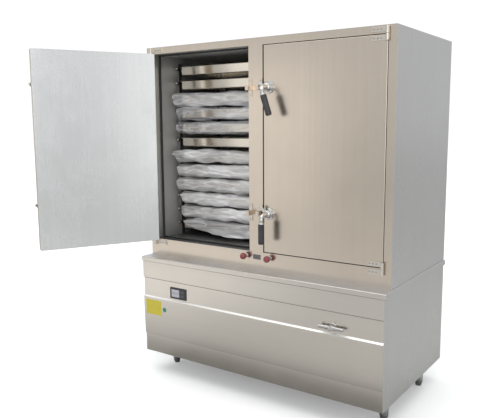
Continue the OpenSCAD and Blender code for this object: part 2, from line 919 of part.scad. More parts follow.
// Sides and back of the base
module base_wrap() {
    apron_back = base_front + sheet_t;
    color(side_steel) difference() {
        union() {
            both_sides() translate([inner_half, 0, 0]) rotate([90, 0, 90]) linear_extrude(height = sheet_t)
                polygon([[apron_back, plate_z], [apron_back, seam_z], [strip_y, seam_z], [strip_y, bend_z],
                    [base_front, bend_z - strip_set], [base_front + panel_lean, kick_z], [kick_y, kick_z],
                    [kick_y, foot_h], [back_y, foot_h], [back_y, plate_z]]);
            slab([-half_w, back_in, foot_h], [half_w, back_y, plate_z]);
        }
        bar_y([inlet_x, back_in - cut, floor_z + inlet_z], sheet_t + 2 * cut, fill_r + pass_gap);
        bar_y([-gland_x, back_in - cut, floor_z + gland_z], sheet_t + 2 * cut, gland_r + pass_gap);
    }
}

module base_floor() {
    color(side_steel) difference() {
        slab([-inner_half, kick_y + sheet_t, foot_h], [inner_half, back_in, floor_z]);
        bar_z([cock[0], cock[1], foot_h - cut], sheet_t + 2 * cut, tail_r + pass_gap);
    }
}

// Square tubes that carry the countertop: corner posts and the rails between their heads
module base_frame() {
    y0 = kick_y + sheet_t;
    y1 = back_in - tube_w;
    post_l = plate_z - floor_z;
    rail_x = inner_half - tube_w;
    color(side_steel) {
        both_sides() for (y = [y0, y1]) tube_z([rail_x, y, floor_z], post_l);
        for (y = [y0, y1]) translate([-rail_x, y, plate_z]) rotate([0, 90, 0])
            tube_z([0, 0, 0], 2 * rail_x);
        both_sides() translate([rail_x, y0 + tube_w, plate_z]) rotate([-90, 0, 0])
            tube_z([0, 0, 0], y1 - y0 - tube_w);
    }
}

module feet() {
    color(bright_steel) for (x = [-feet_x, feet_x], y = feet_y) translate([x, y, 0])
        rotate_extrude() polygon([[0, 0], [sole_r, 0], [foot_r, toe_h], [foot_r, foot_h - flange_t],
            [flange_r, foot_h - flange_t], [flange_r, foot_h], [0, foot_h]]);
}

// Heater tube axes at the back wall of the tank
function heater_axes() = [for (i = [-1 : 1], leg = [-1, 1]) i * heater_pitch + leg * hairpin_r];

module water_tank() {
    wall = [sheet_t, sheet_t, 0];
    low = [-tank_x, tank_y0, tank_z0];
    high = [tank_x, tank_y1, tank_z1];
    color(bright_steel) {
        difference() {
            slab(low, high);
            slab(low + wall + [0, 0, sheet_t], high - wall + [0, 0, cut]);
            bar_z([cock[0], cock[1], tank_z0 - cut], sheet_t + 2 * cut, drain_bore_r);
            for (x = heater_axes())
                bar_y([x, tank_y1 - sheet_t - cut, tank_z0 + heater_z], sheet_t + 2 * cut, heater_r + pass_gap);
            bar_y([inlet_x, tank_y1 - sheet_t - cut, tank_z1 - fill_drop], sheet_t + 2 * cut, fill_r + pass_gap);
        }
        both_sides() for (y = [tank_y0, tank_y1 - tube_w])
            tube_z([tank_x - tube_w, y, floor_z], tank_z0 - floor_z);
    }
}

// Tank lid with the two steam risers and the slots in which the dampers slide
module tank_lid() {
    lid_z = tank_z1 + sheet_t;
    slot_h = gate_t + 2 * gate_gap;
    slot_z = damper_row - slot_h / 2;
    slot_r = gate_r + gate_gap;
    y = front_y + riser_y;
    color(bright_steel) difference() {
        union() {
            slab([-tank_x, tank_y0, tank_z1], [tank_x, tank_y1, lid_z]);
            both_sides() bar_z([riser_x, y, tank_z1], sill_z - sheet_t - tank_z1, riser_r);
        }
        both_sides() {
            bar_z([riser_x, y, tank_z1 - cut], sill_z - tank_z1 + 2 * cut, riser_r - riser_wall);
            bar_z([riser_x, y, slot_z], slot_h, slot_r);
            slab([riser_x - slot_r, y - riser_r - cut, slot_z], [riser_x + slot_r, y, slot_z + slot_h]);
        }
    }
}

// Three hairpin heaters, each on a flange outside the back wall of the tank
module heaters() {
    bend_y = tank_y1 - heater_l;
    rod_l = heater_l + heater_flange_t + terminal_l;
    color(brass_yellow) for (i = [-1 : 1]) translate([i * heater_pitch, 0, tank_z0 + heater_z]) {
        bar_y([0, tank_y1, 0], heater_flange_t, heater_flange_r);
        for (leg = [-hairpin_r, hairpin_r]) bar_y([leg, bend_y, 0], rod_l, heater_r);
        translate([0, bend_y, 0]) rotate([0, 0, 180]) rotate_extrude(angle = 180)
            translate([hairpin_r, 0]) circle(r = heater_r);
    }
}

// Control panel: a bezel, its display window, two keys and the box behind them
module at_controls(x, z) {
    translate([-bezel_x + x, strip_y, control_z + z]) children();
}

// Plate of a given width and height, centred, from one depth to another
module plate(width, height, y0, y1) {
    slab([-width / 2, y0, -height / 2], [width / 2, y1, height / 2]);
}

module control_bezel() {
    neck_w = bezel_w - 2 * bezel_lap;
    neck_h = bezel_h - 2 * bezel_lap;
    color(bezel_black) difference() {
        union() {
            at_controls(0, 0) plate(bezel_w, bezel_h, -bezel_t, 0);
            at_controls(0, 0) plate(neck_w, neck_h, 0, neck_d);
        }
        at_controls(0, 0) plate(neck_w - 2 * neck_wall, neck_h - 2 * neck_wall, 0, neck_d + cut);
        at_controls(-window_x, 0) plate(window_w, window_h, -bezel_t - cut, cut);
        for (z = [-key_pitch / 2, key_pitch / 2])
            at_controls(key_x, z) plate(key_w, key_h, -bezel_t - cut, cut);
    }
}

// Cap with a wider shoulder behind the bezel
module capped(width, height, front, shoulder_y) {
    plate(width - 2 * key_gap, height - 2 * key_gap, front, shoulder_y);
    plate(width + 2 * shoulder_w, height + 2 * shoulder_w, shoulder_y, shoulder_y + shoulder_t);
}

module display_window() {
    color(glass_grey) at_controls(-window_x, 0) capped(window_w, window_h, -bezel_t + key_gap, 0);
}

module key(z) {
    stem_l = key_back - strip_y - key_gap - shoulder_t;
    color(key_grey) at_controls(key_x, z) {
        capped(key_w, key_h, -bezel_t - key_out, key_gap);
        bar_y([0, key_gap + shoulder_t, 0], stem_l, key_h / 4);
    }
}

module control_box() {
    board_y = key_back - strip_y + key_room;
    back = sheet_t + box_d;
    box_w = bezel_w + 2 * box_room;
    box_h = bezel_h + 2 * box_room;
    color(box_grey) at_controls(0, 0) {
        difference() {
            plate(box_w, box_h, sheet_t, back);
            plate(box_w - 2 * sheet_t, box_h - 2 * sheet_t, sheet_t - cut, back - sheet_t);
        }
        plate(box_w - sheet_t, box_h - sheet_t, board_y, board_y + board_t);
    }
}

// Solenoid valve that fills the tank, with its locknut and thread behind the back
module inlet_valve() {
    z = floor_z + inlet_z;
    valve_y = back_in - valve_d / 2;
    fill_z = tank_z1 - fill_drop;
    color(brass_yellow) {
        slab([inlet_x - valve_half, back_in - valve_d, z - valve_half], [inlet_x + valve_half, back_in, z + valve_half]);
        bar_y([inlet_x, back_in, z], sheet_t + inlet_nut_t, fill_r);
        bar_y([inlet_x, back_y, z], inlet_nut_t, inlet_nut_r);
        bar_y([inlet_x, back_y + inlet_nut_t, z], inlet_l, inlet_r);
        bar_x([inlet_x - valve_half - coil_l, valve_y, z], coil_l, coil_r);
        bar_z([inlet_x, valve_y, z + valve_half], fill_z - z - valve_half, fill_r);
        translate([inlet_x, valve_y, fill_z]) sphere(r = fill_r);
        bar_y([inlet_x, tank_y1 - sheet_t, fill_z], valve_y - tank_y1 + sheet_t, fill_r);
    }
}

// Plug cock under the tank and the pipe that leaves through the base floor
module drain_valve() {
    pipe_end = foot_h - drain_out;
    body_z = cock[2] - cock_half;
    y0 = cock[1] - cock_half;
    color(brass_yellow) difference() {
        union() {
            slab([cock[0] - cock_half, y0 - cock_wall, body_z], [cock[0] + cock_half, cock[1] + cock_half, tank_z0]);
            bar_z([cock[0], cock[1], pipe_end], body_z - pipe_end, drain_pipe_r);
            bar_z([cock[0], cock[1], pipe_end], tail_l, tail_r);
        }
        bar_z([cock[0], cock[1], pipe_end - cut], tank_z0 - pipe_end + 2 * cut, drain_bore_r);
        bar_y([cock[0], y0, cock[2]], 2 * cock_half + cut, plug_r + plug_gap);
        bar_y([cock[0], y0 - cock_wall - cut, cock[2]], cock_wall + 2 * cut, stem_r + plug_gap);
    }
}

// Quarter-turn plug, its stem and the T-bar in front of the control strip
module drain_handle() {
    y0 = cock[1] - cock_half + pass_gap;
    y1 = cock[1] + cock_half + pass_gap;
    color(bright_steel) {
        difference() {
            bar_y([cock[0], y0, cock[2]], y1 - y0, plug_r);
            bar_x([cock[0] - plug_r - cut, cock[1], cock[2]], 2 * (plug_r + cut), drain_bore_r);
        }
        bar_y([cock[0], y1, cock[2]], washer_t, washer_r);
        bar_y([cock[0], bar_y0, cock[2]], y0 - bar_y0, stem_r);
        bar_y([cock[0], bar_y0 - hub_l / 2, cock[2]], hub_l, hub_r);
        bar_x([cock[0] - bar_l / 2, bar_y0, cock[2]], bar_l, bar_r);
    }
}

// Cable gland through the back, with its locknut inside
module power_gland() {
    z = floor_z + gland_z;
    color(bezel_black) translate([-gland_x, back_y, z]) difference() {
        union() {
            bar_y([0, 0, 0], gland_cap_l, gland_cap_r);
            bar_y([0, -sheet_t - gland_in, 0], sheet_t + gland_in, gland_r);
            bar_y([0, -sheet_t - gland_nut_t, 0], gland_nut_t, gland_cap_r);
        }
        bar_y([0, -sheet_t - gland_in - cut, 0], sheet_t + gland_in + gland_cap_l + 2 * cut, gland_bore_r);
    }
}

upper_shell();
upper_back();
face_frame();
left_chamber();
right_chamber();
insulation();
door_seals();
tray_racks();
hinge_frame_leaves();
latch_keepers();
countertop();
front_panel();
base_wrap();
base_floor();
base_frame();
feet();
water_tank();
tank_lid();
heaters();
control_bezel();
display_window();
control_box();
inlet_valve();
drain_valve();
power_gland();
left_door_skin();
left_door_liner();
left_door_core();
left_hinge_leaves();
left_rosettes();
right_door_skin();
right_door_liner();
right_door_core();
right_hinge_leaves();
right_rosettes();
left_upper_lever();
left_upper_grip();
left_lower_lever();
left_lower_grip();
right_upper_lever();
right_upper_grip();
right_lower_lever();
right_lower_grip();
left_damper();
right_damper();
drain_handle();
key(key_pitch / 2);  // upper_key
key(-key_pitch / 2);  // lower_key
tray(1);  // tray_01
tray(2);  // tray_02
tray(3);  // tray_03
tray(4);  // tray_04
tray(5);  // tray_05
tray(6);  // tray_06
tray(7);  // tray_07
tray(8);  // tray_08
tray(9);  // tray_09
tray(10);  // tray_10
tray(11);  // tray_11
tray(12);  // tray_12
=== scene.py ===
"""Looks of a double-door tray steam cabinet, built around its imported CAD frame."""

import logging
import math
from collections.abc import Callable, Iterable, Iterator, Sequence
from contextlib import contextmanager
from dataclasses import dataclass
from enum import Enum

import bmesh
import bpy
from mathutils import Matrix, Vector, noise


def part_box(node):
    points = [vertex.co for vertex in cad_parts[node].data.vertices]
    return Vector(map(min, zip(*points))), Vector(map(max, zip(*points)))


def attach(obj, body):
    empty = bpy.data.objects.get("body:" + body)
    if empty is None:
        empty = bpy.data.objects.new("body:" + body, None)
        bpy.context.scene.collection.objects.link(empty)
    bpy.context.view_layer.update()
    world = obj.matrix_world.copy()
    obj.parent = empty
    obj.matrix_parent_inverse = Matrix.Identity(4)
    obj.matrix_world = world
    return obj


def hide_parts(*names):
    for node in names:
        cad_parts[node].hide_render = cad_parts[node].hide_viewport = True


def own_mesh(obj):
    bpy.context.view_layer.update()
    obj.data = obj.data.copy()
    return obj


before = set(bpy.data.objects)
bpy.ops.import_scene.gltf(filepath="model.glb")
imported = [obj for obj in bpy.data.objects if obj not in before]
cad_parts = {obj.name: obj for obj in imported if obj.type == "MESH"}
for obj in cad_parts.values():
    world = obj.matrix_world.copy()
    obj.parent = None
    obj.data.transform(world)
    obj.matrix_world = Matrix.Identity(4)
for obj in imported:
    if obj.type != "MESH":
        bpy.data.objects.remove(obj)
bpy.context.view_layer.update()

MM = 0.001
LOG = logging.getLogger("steam_cabinet")

Point = Sequence[float]
Colour = tuple[float, float, float]

CABINET = "cabinet"
HARDWARE = "hardware_steel"
FACING = 0.9
FRONT_Y = -321.0
BACK_Y = 397.0
BACK_SCREW_SIDE = 684.0
BACK_SCREW_COLUMNS = (-456.0, -228.0, 0.0, 228.0, 456.0)
HINGE_SCREWS = (598.0, 614.0, 630.0)
HINGE_OUT = 4.0
HINGE_FOLD = 0.9
HINGE_SCREW_R = 3.8
SPINDLE_X = 75.0
LATCH_HEIGHTS = {"upper": 1535.0, "lower": 937.0}
PIVOT = Vector((-660.0, -333.0, 0.0))
OPEN_ANGLE = 118.0
MIRROR = Matrix.Scale(-1.0, 4, (1.0, 0.0, 0.0))
LEFT_PLACE = (Matrix.Translation(PIVOT) @ Matrix.Rotation(-math.radians(OPEN_ANGLE), 4, "Z")
              @ Matrix.Translation(-PIVOT) @ MIRROR)
OUT = (0.0, -1.0, 0.0)
BACK = (0.0, 1.0, 0.0)
UP = (0.0, 0.0, 1.0)
DOWN = (0.0, 0.0, -1.0)


class Val:
    """A shader value; arithmetic on it adds Math nodes."""

    def __init__(self, nodes: "Nodes", socket: bpy.types.NodeSocket) -> None:
        """Wraps one output socket of a node tree."""
        self.nodes = nodes
        self.socket = socket

    def math(self, operation: str, first: "Val | float", second: "Val | float") -> "Val":
        """Adds one Math node and returns its value."""
        return self.nodes.add("Math", {"operation": operation}, {0: first, 1: second})

    def __add__(self, other: "Val | float") -> "Val":
        """Sum."""
        return self.math("ADD", self, other)

    __radd__ = __add__

    def __sub__(self, other: "Val | float") -> "Val":
        """Difference."""
        return self.math("SUBTRACT", self, other)

    def __rsub__(self, other: float) -> "Val":
        """Difference from a number on the left."""
        return self.math("SUBTRACT", other, self)

    def __mul__(self, other: "Val | float") -> "Val":
        """Product."""
        return self.math("MULTIPLY", self, other)


class Nodes:
    """A node tree under construction."""

    def __init__(self, tree: bpy.types.NodeTree) -> None:
        """Empties the tree."""
        self.tree = tree
        self.tree.nodes.clear()

    def add(self, kind: str, settings: dict | None = None, inputs: dict | None = None,
            output: int | str = 0) -> Val:
        """Adds one node.

        Args:
            kind: Node type without its ShaderNode prefix.
            settings: Node properties, set first; "stops" fills a colour ramp.
            inputs: Socket name or index to a value or a Val.
            output: Output socket to return.

        Returns:
            The output as a value.
        """
        made = self.tree.nodes.new("ShaderNode" + kind)
        for key, value in (settings or {}).items():
            if key == "stops":
                self.fill_ramp(made, value)
            else:
                setattr(made, key, value)
        for key, value in (inputs or {}).items():
            if isinstance(value, Val):
                self.tree.links.new(value.socket, made.inputs[key])
            else:
                made.inputs[key].default_value = value
        return Val(self, made.outputs[output])

    @staticmethod
    def fill_ramp(ramp: bpy.types.Node, stops: Sequence[tuple[float, float]]) -> None:
        """Sets a ramp's grey stops, given as (position, level).

        Args:
            ramp: Colour ramp node.
            stops: Position and level of each stop.
        """
        elements = ramp.color_ramp.elements
        while len(elements) < len(stops):
            elements.new(1.0)
        for element, (position, level) in zip(elements, stops):
            element.position = position
            element.color = (level, level, level, 1.0)

    def place(self, stretch: Point = (1.0, 1.0, 1.0), turn: Point = (0.0, 0.0, 0.0)) -> Val:
        """Object coordinates, stretched and turned."""
        coords = self.add("TexCoord", output="Object")
        return self.add("Mapping", inputs={"Vector": coords, "Scale": stretch, "Rotation": turn})

    def noise(self, vector: Val, scale: float, detail: float = 3.0, rough: float = 0.55) -> Val:
        """Noise from 0 to 1 with a given number of cells a metre."""
        inputs = {"Vector": vector, "Scale": scale, "Detail": detail, "Roughness": rough}
        return self.add("TexNoise", inputs=inputs, output="Fac")

    def ramp(self, value: Val, stops: Sequence[tuple[float, float]]) -> Val:
        """Value through a grey ramp."""
        return self.add("ValToRGB", {"stops": stops}, {"Fac": value})

    def mix(self, first: Colour, second: Colour, share: Val) -> Val:
        """Colour between two colours."""
        inputs = {0: share, 6: (*first, 1.0), 7: (*second, 1.0)}
        return self.add("Mix", {"data_type": "RGBA"}, inputs, output=2)

    def reach(self, place: Val, centre: Point, start: float, end: float) -> Val:
        """Smooth step from 0 to 1 between two distances from a point."""
        away = self.add("VectorMath", {"operation": "DISTANCE"}, {0: place, 1: centre}, output="Value")
        return self.step(away, start, end)

    def step(self, value: Val, start: float, end: float) -> Val:
        """Smooth step from 0 to 1 between two values."""
        return self.add("MapRange", {"interpolation_type": "SMOOTHSTEP"},
                        {"Value": value, "From Min": start, "From Max": end})

    def bump(self, height: Val, distance: float, strength: float = 1.0) -> Val:
        """Normal from a height."""
        inputs = {"Height": height, "Distance": distance, "Strength": strength}
        return self.add("Bump", inputs=inputs, output="Normal")

    def surface(self, **inputs: "Val | float | tuple") -> None:
        """Joins a Principled shader to the material output.

        Args:
            inputs: Socket names, with underscores for spaces, and their values.
        """
        named = {key.replace("_", " "): value for key, value in inputs.items()}
        shader = self.add("BsdfPrincipled", inputs=named)
        self.add_output("OutputMaterial", shader)

    def add_output(self, kind: str, shader: Val) -> None:
        """Adds the tree's output node."""
        made = self.tree.nodes.new("ShaderNode" + kind)
        self.tree.links.new(shader.socket, made.inputs["Surface"])


class Grain(Enum):
    """Which way a sheet was brushed, as the stretch of its lines."""

    UPRIGHT = (1.0, 1.0, 0.012)
    ACROSS = (0.012, 1.0, 1.0)
    ROUND = (1.0, 1.0, 1.0)


def shaded(colour: Colour, level: float) -> Colour:
    """Colour made lighter or darker by a factor."""
    return tuple(min(1.0, part * level) for part in colour)


@dataclass(frozen=True)
class Finish:
    """A named finish; its material is made once."""

    name: str

    def material(self) -> bpy.types.Material:
        """Material of this finish.

        Returns:
            The material, made at the first call.
        """
        found = bpy.data.materials.get(self.name)
        if found is None:
            found = bpy.data.materials.new(self.name)
            found.use_nodes = True
            self.shade(Nodes(found.node_tree))
        return found

    def shade(self, nodes: Nodes) -> None:
        """Fills the node tree.

        Args:
            nodes: Node tree of the material.
        """
        raise NotImplementedError


@dataclass(frozen=True)
class BrushedSteel(Finish):
    """Sheet steel with brushing lines, handling smudges and slow changes of tone."""

    colour: Colour
    roughness: float = 0.24
    grain: Grain = Grain.UPRIGHT
    lines_per_m: float = 520.0
    streaks_per_m: float = 46.0
    smudges_per_m: float = 5.5
    clouds_per_m: float = 1.3
    contrast: float = 0.12
    relief: float = 0.00006

    def shade(self, nodes: Nodes) -> None:
        """Fills the node tree.

        Args:
            nodes: Node tree of the material.
        """
        brushed, even = nodes.place(self.grain.value), nodes.place()
        lines = nodes.noise(brushed, self.lines_per_m, 4.0, 0.6)
        streak = nodes.noise(brushed, self.streaks_per_m, 2.0)
        smudge = nodes.ramp(nodes.noise(even, self.smudges_per_m, 4.0, 0.62), ((0.36, 0.0), (0.74, 1.0)))
        cloud = nodes.noise(even, self.clouds_per_m, 2.0)
        tone = lines * 0.34 + streak * 0.3 + cloud * 0.36
        dark, light = (shaded(self.colour, 1.0 + sign * self.contrast) for sign in (-1.0, 1.0))
        roughness = self.roughness - 0.075 + lines * 0.09 + smudge * 0.06
        nodes.surface(Base_Color=nodes.mix(dark, light, tone), Metallic=1.0, Roughness=roughness,
                      Normal=nodes.bump(lines, self.relief, 0.35))


@dataclass(frozen=True)
class PolishedSteel(Finish):
    """Cast and turned steel, polished, with fine scratches."""

    colour: Colour
    roughness: float = 0.13
    scratches_per_m: float = 1500.0
    dents_per_m: float = 120.0
    grime_per_m: float = 60.0
    relief: float = 0.0002

    def shade(self, nodes: Nodes) -> None:
        """Fills the node tree.

        Args:
            nodes: Node tree of the material.
        """
        even = nodes.place()
        scratch = nodes.noise(nodes.place((1.0, 0.2, 1.0), (0.4, 0.3, 0.7)), self.scratches_per_m)
        cast = nodes.noise(even, self.dents_per_m)
        grime = nodes.ramp(nodes.noise(even, self.grime_per_m), ((0.45, 0.0), (0.75, 1.0)))
        colour = nodes.mix(self.colour, shaded(self.colour, 0.8), grime)
        roughness = self.roughness - 0.04 + scratch * 0.08 + grime * 0.12
        nodes.surface(Base_Color=colour, Metallic=1.0, Roughness=roughness,
                      Normal=nodes.bump(cast, self.relief, 0.4))


@dataclass(frozen=True)
class Moulded(Finish):
    """Plastic, rubber or paint with a fine grain and a little rubbing."""

    colour: Colour
    roughness: float = 0.45
    grain_per_m: float = 900.0
    rubs_per_m: float = 45.0
    relief: float = 0.00015
    coat: float = 0.0
    worn: float = 1.35

    def shade(self, nodes: Nodes) -> None:
        """Fills the node tree.

        Args:
            nodes: Node tree of the material.
        """
        even = nodes.place()
        grain = nodes.noise(even, self.grain_per_m, 3.0, 0.65)
        rubbed = nodes.ramp(nodes.noise(even, self.rubs_per_m, 4.0, 0.65), ((0.42, 0.0), (0.8, 1.0)))
        colour = nodes.mix(self.colour, shaded(self.colour, self.worn), rubbed)
        roughness = self.roughness - 0.06 + grain * 0.1 + rubbed * 0.05
        nodes.surface(Base_Color=colour, Roughness=roughness, Coat_Weight=self.coat,
                      Normal=nodes.bump(grain, self.relief, 0.5))


@dataclass(frozen=True)
class ClearFilm(Finish):
    """Thin plastic film, hazy along the long folds that it was drawn into. It is lighter along the folds and creases,
    partly real haze and partly painted highlight.
    """

    colour: Colour
    haze: float
    folds_per_m: float = 17.0
    creases_per_m: float = 30.0
    relief: float = 0.006

    def shade(self, nodes: Nodes) -> None:
        """Fills the node tree.

        Args:
            nodes: Node tree of the material.
        """
        drawn = nodes.noise(nodes.place((0.22, 0.8, 1.0), (0.0, 0.2, 0.1)), self.folds_per_m)
        crossed = nodes.noise(nodes.place((0.16, 0.7, 1.0), (0.0, -0.34, 0.2)), self.creases_per_m, 2.0, 0.5)
        veil_haze_and_highlight = nodes.ramp(drawn, ((0.34, 0.0), (0.66, 1.0)))
        crease_haze_and_highlight = nodes.ramp(crossed, ((0.42, 0.0), (0.5, 1.0), (0.58, 0.0)))
        # Lighter colour along the folds and creases: partly haze, partly a painted highlight.
        colour = nodes.mix(shaded(self.colour, 0.72), self.colour, veil_haze_and_highlight * 0.6 + crease_haze_and_highlight * 0.4)
        alpha = self.haze - 0.12 + veil_haze_and_highlight * 0.32 + crease_haze_and_highlight * 0.16
        nodes.surface(Base_Color=colour, Roughness=0.2 + veil_haze_and_highlight * 0.1, Alpha=alpha,
                      Normal=nodes.bump(drawn * 0.75 + crease_haze_and_highlight * 0.25, self.relief, 0.5))


@dataclass(frozen=True)
class WoolFill(Finish):
    """Insulating wool in loose strands."""

    colour: Colour
    strands_per_m: float = 260.0
    relief: float = 0.003

    def shade(self, nodes: Nodes) -> None:
        """Fills the node tree.

        Args:
            nodes: Node tree of the material.
        """
        strands = nodes.noise(nodes.place((1.0, 0.25, 1.0)), self.strands_per_m, 6.0, 0.7)
        colour = nodes.mix(shaded(self.colour, 0.6), self.colour, strands)
        nodes.surface(Base_Color=colour, Roughness=0.95, Normal=nodes.bump(strands, self.relief))


@dataclass(frozen=True)
class Floor(Finish):
    """A studio floor that glows a little."""

    @staticmethod
    def lay(nodes: Nodes, colour: Val, glow: tuple[float, float], share: Val) -> None:
        """Joins the floor's colour and its glow, which runs from one level to another.

        Args:
            nodes: Node tree of the material.
            colour: Colour of the floor.
            glow: The two levels.
            share: Where the glow is between them.
        """
        dim, bright = ((level,) * 3 for level in glow)
        nodes.surface(Base_Color=colour, Roughness=0.8, Emission_Color=nodes.mix(dim, bright, share),
                      Emission_Strength=1.0)


@dataclass(frozen=True)
class SeenFloor(Floor):
    """Pale studio floor that brightens to white away from the object."""

    colour: Colour
    glow: tuple[float, float]
    span: tuple[float, float] = (1.2, 6.0)
    specks_per_m: float = 90.0

    def shade(self, nodes: Nodes) -> None:
        """Fills the node tree.

        Args:
            nodes: Node tree of the material.
        """
        place = nodes.place()
        colour = nodes.mix(shaded(self.colour, 0.97), self.colour, nodes.noise(place, self.specks_per_m))
        self.lay(nodes, colour, self.glow, nodes.reach(place, (0.0, 0.0, 0.0), *self.span))


@dataclass(frozen=True)
class MirroredFloor(Floor):
    """The floor as the steel mirrors it: dim close to the object, with one bright patch."""

    close: Colour
    open: Colour
    patch: tuple[float, float, float]
    glow: float
    half_w: float = 0.70
    half_d: float = 0.40
    side_blur: float = 0.12
    front_blur: float = 0.1
    front_dim: float = 0.65
    clear: tuple[float, float] = (0.3, 0.5)
    patch_span: tuple[float, float] = (1.9, 0.2)

    def shade(self, nodes: Nodes) -> None:
        """Fills the node tree.

        Args:
            nodes: Node tree of the material.
        """
        place = nodes.place()
        x, y = (nodes.add("SeparateXYZ", inputs={0: place}, output=axis) for axis in "XY")
        aside, ahead = x.math("ABSOLUTE", x, 0.0) - self.half_w, -self.half_d - y
        corner = nodes.step(ahead, 0.0, self.front_blur) * self.front_dim
        beside = nodes.step(aside, 0.0, self.side_blur) * (1.0 - corner)
        colour = nodes.mix(self.close, self.open, nodes.step(ahead, *self.clear) + beside)
        self.lay(nodes, colour, (0.0, self.glow), nodes.reach(place, self.patch, *self.patch_span))


# Front steel: its warm beige tint is a painted warm reflection. The face frame, door skins and keepers use it.
FRONT_PAINTED_REFLECTION = BrushedSteel("brushed_front_painted_reflection", (0.63, 0.55, 0.465))
JAMB = BrushedSteel("satin_jamb", (0.58, 0.58, 0.55), roughness=0.5)
# Base front steel: its warm tint is a painted warm reflection.
BASE_PAINTED_REFLECTION = BrushedSteel("brushed_base_painted_reflection", (0.60, 0.556, 0.505), grain=Grain.ACROSS)
# Countertop's upward faces: lighter and bluer than the same sheet's front and sides. This is painted light from above.
COUNTER_TOP_PAINTED_LIGHT = BrushedSteel("satin_counter_top_painted_light", (0.67, 0.69, 0.725), roughness=0.4, grain=Grain.ACROSS)
SIDE = BrushedSteel("brushed_side", (0.545, 0.54, 0.522), roughness=0.3)
# Door's inner face: paler than the other steel. This is a painted reflection of the bright surround.
INNER_DOOR_PAINTED_REFLECTION = BrushedSteel("brushed_inner_door_painted_reflection", (0.71, 0.715, 0.71), roughness=0.27)
CHAMBER = BrushedSteel("satin_chamber", (0.56, 0.56, 0.55), roughness=0.6)
# Chamber floor: much darker than the chamber walls. This is painted shade at the chamber's bottom.
CHAMBER_FLOOR_PAINTED_SHADE = BrushedSteel("satin_chamber_floor_painted_shade", (0.26, 0.26, 0.265), roughness=0.4)
# Tray steel: its warm tint is a painted warm reflection.
TRAY_PAINTED_REFLECTION = BrushedSteel("pressed_tray_painted_reflection", (0.70, 0.64, 0.56), roughness=0.16, grain=Grain.ACROSS)
RACK_STEEL = BrushedSteel("rack_steel", (0.58, 0.58, 0.57), roughness=0.3, grain=Grain.ROUND)
# Near-black steel: painted shade on the racks, on the frame's sill and on the keepers' side faces.
PAINTED_SHADE_STEEL = BrushedSteel("painted_shade_satin", (0.18, 0.18, 0.18), roughness=0.5, grain=Grain.ROUND)
# Dark band under the apron: a painted shadow of the gap between the apron and the control strip.
PAINTED_JOINT_SHADOW = BrushedSteel("painted_joint_shadow", (0.28, 0.255, 0.225), roughness=0.45, grain=Grain.ACROSS)
# Pale steel on the front panel's upper fold: a painted highlight.
PAINTED_FOLD_HIGHLIGHT = BrushedSteel("painted_fold_highlight", (0.92, 0.89, 0.85), roughness=0.5, grain=Grain.ACROSS)
# Hinge steel: warm like the front, a painted warm reflection.
HINGE_PAINTED_REFLECTION = BrushedSteel("satin_hinge_painted_reflection", (0.62, 0.575, 0.51), roughness=0.36, grain=Grain.ROUND)
CAST = PolishedSteel("polished_casting", (0.56, 0.555, 0.54), roughness=0.14)
SCREW_STEEL = PolishedSteel("screw_steel", (0.36, 0.35, 0.335), roughness=0.3)
BRASS = PolishedSteel("fitting_brass_turned", (0.70, 0.52, 0.25), roughness=0.2)
GRIP = Moulded("grip_bakelite", (0.026, 0.024, 0.029), roughness=0.38, worn=1.8)
RUBBER = Moulded("seal_black", (0.022, 0.022, 0.023), roughness=0.62, relief=0.0003)
RED_BALL = Moulded("ball_red", (0.20, 0.022, 0.028), roughness=0.26, relief=0.00002, coat=0.5)
BEZEL = Moulded("bezel_black", (0.028, 0.027, 0.029), roughness=0.42)
KEY_CAP = Moulded("key_grey", (0.075, 0.073, 0.078), roughness=0.5)
DISPLAY = Moulded("display_grey", (0.43, 0.42, 0.46), roughness=0.16, relief=0.00001, coat=0.6, worn=1.1)
SEGMENT = Moulded("display_cells", (0.30, 0.29, 0.325), roughness=0.3, relief=0.00001)
BLANK = Moulded("blank_plate_grey", (0.115, 0.105, 0.115), roughness=0.4, relief=0.00003)
YELLOW = Moulded("label_yellow", (0.60, 0.51, 0.045), roughness=0.5, relief=0.00002, worn=0.9)
GREEN = Moulded("label_green", (0.044, 0.21, 0.14), roughness=0.5, relief=0.00002)
GLAND_BLACK = Moulded("gland_black", (0.03, 0.03, 0.032), roughness=0.5)
BOX_GREY = Moulded("box_grey", (0.23, 0.245, 0.255), roughness=0.5)
WOOL = WoolFill("insulating_wool", (0.78, 0.72, 0.55))
HAZY_FILM = ClearFilm("hazy_film", (0.97, 0.965, 0.975), 0.48)
CLEAR_FILM = ClearFilm("clear_film", (0.9, 0.9, 0.93), 0.27)


def round_edges(bm: bmesh.types.BMesh, edges: Iterable[bmesh.types.BMEdge], radius: float,
                segments: int) -> None:
    """Bevels edges to a round.

    Args:
        bm: Mesh that holds the edges.
        edges: Edges to round.
        radius: Offset of the round.
        segments: Faces across the round.
    """
    bmesh.ops.bevel(bm, geom=list(edges), offset=radius, offset_type="OFFSET", affect="EDGES",
                    segments=segments, profile=0.5, material=-1, clamp_overlap=True)


def shown(name: str, data: bpy.types.ID) -> bpy.types.Object:
    """Object of a mesh, a light or a camera, in the scene.

    Args:
        name: Name of the object.
        data: What it shows.

    Returns:
        The object, linked to the scene.
    """
    made = bpy.data.objects.new(name, data)
    bpy.context.scene.collection.objects.link(made)
    return made


def towards(axis: Point) -> Matrix:
    """Turn that takes +Z to an axis."""
    return Vector((0.0, 0.0, 1.0)).rotation_difference(Vector(axis)).to_matrix().to_4x4()


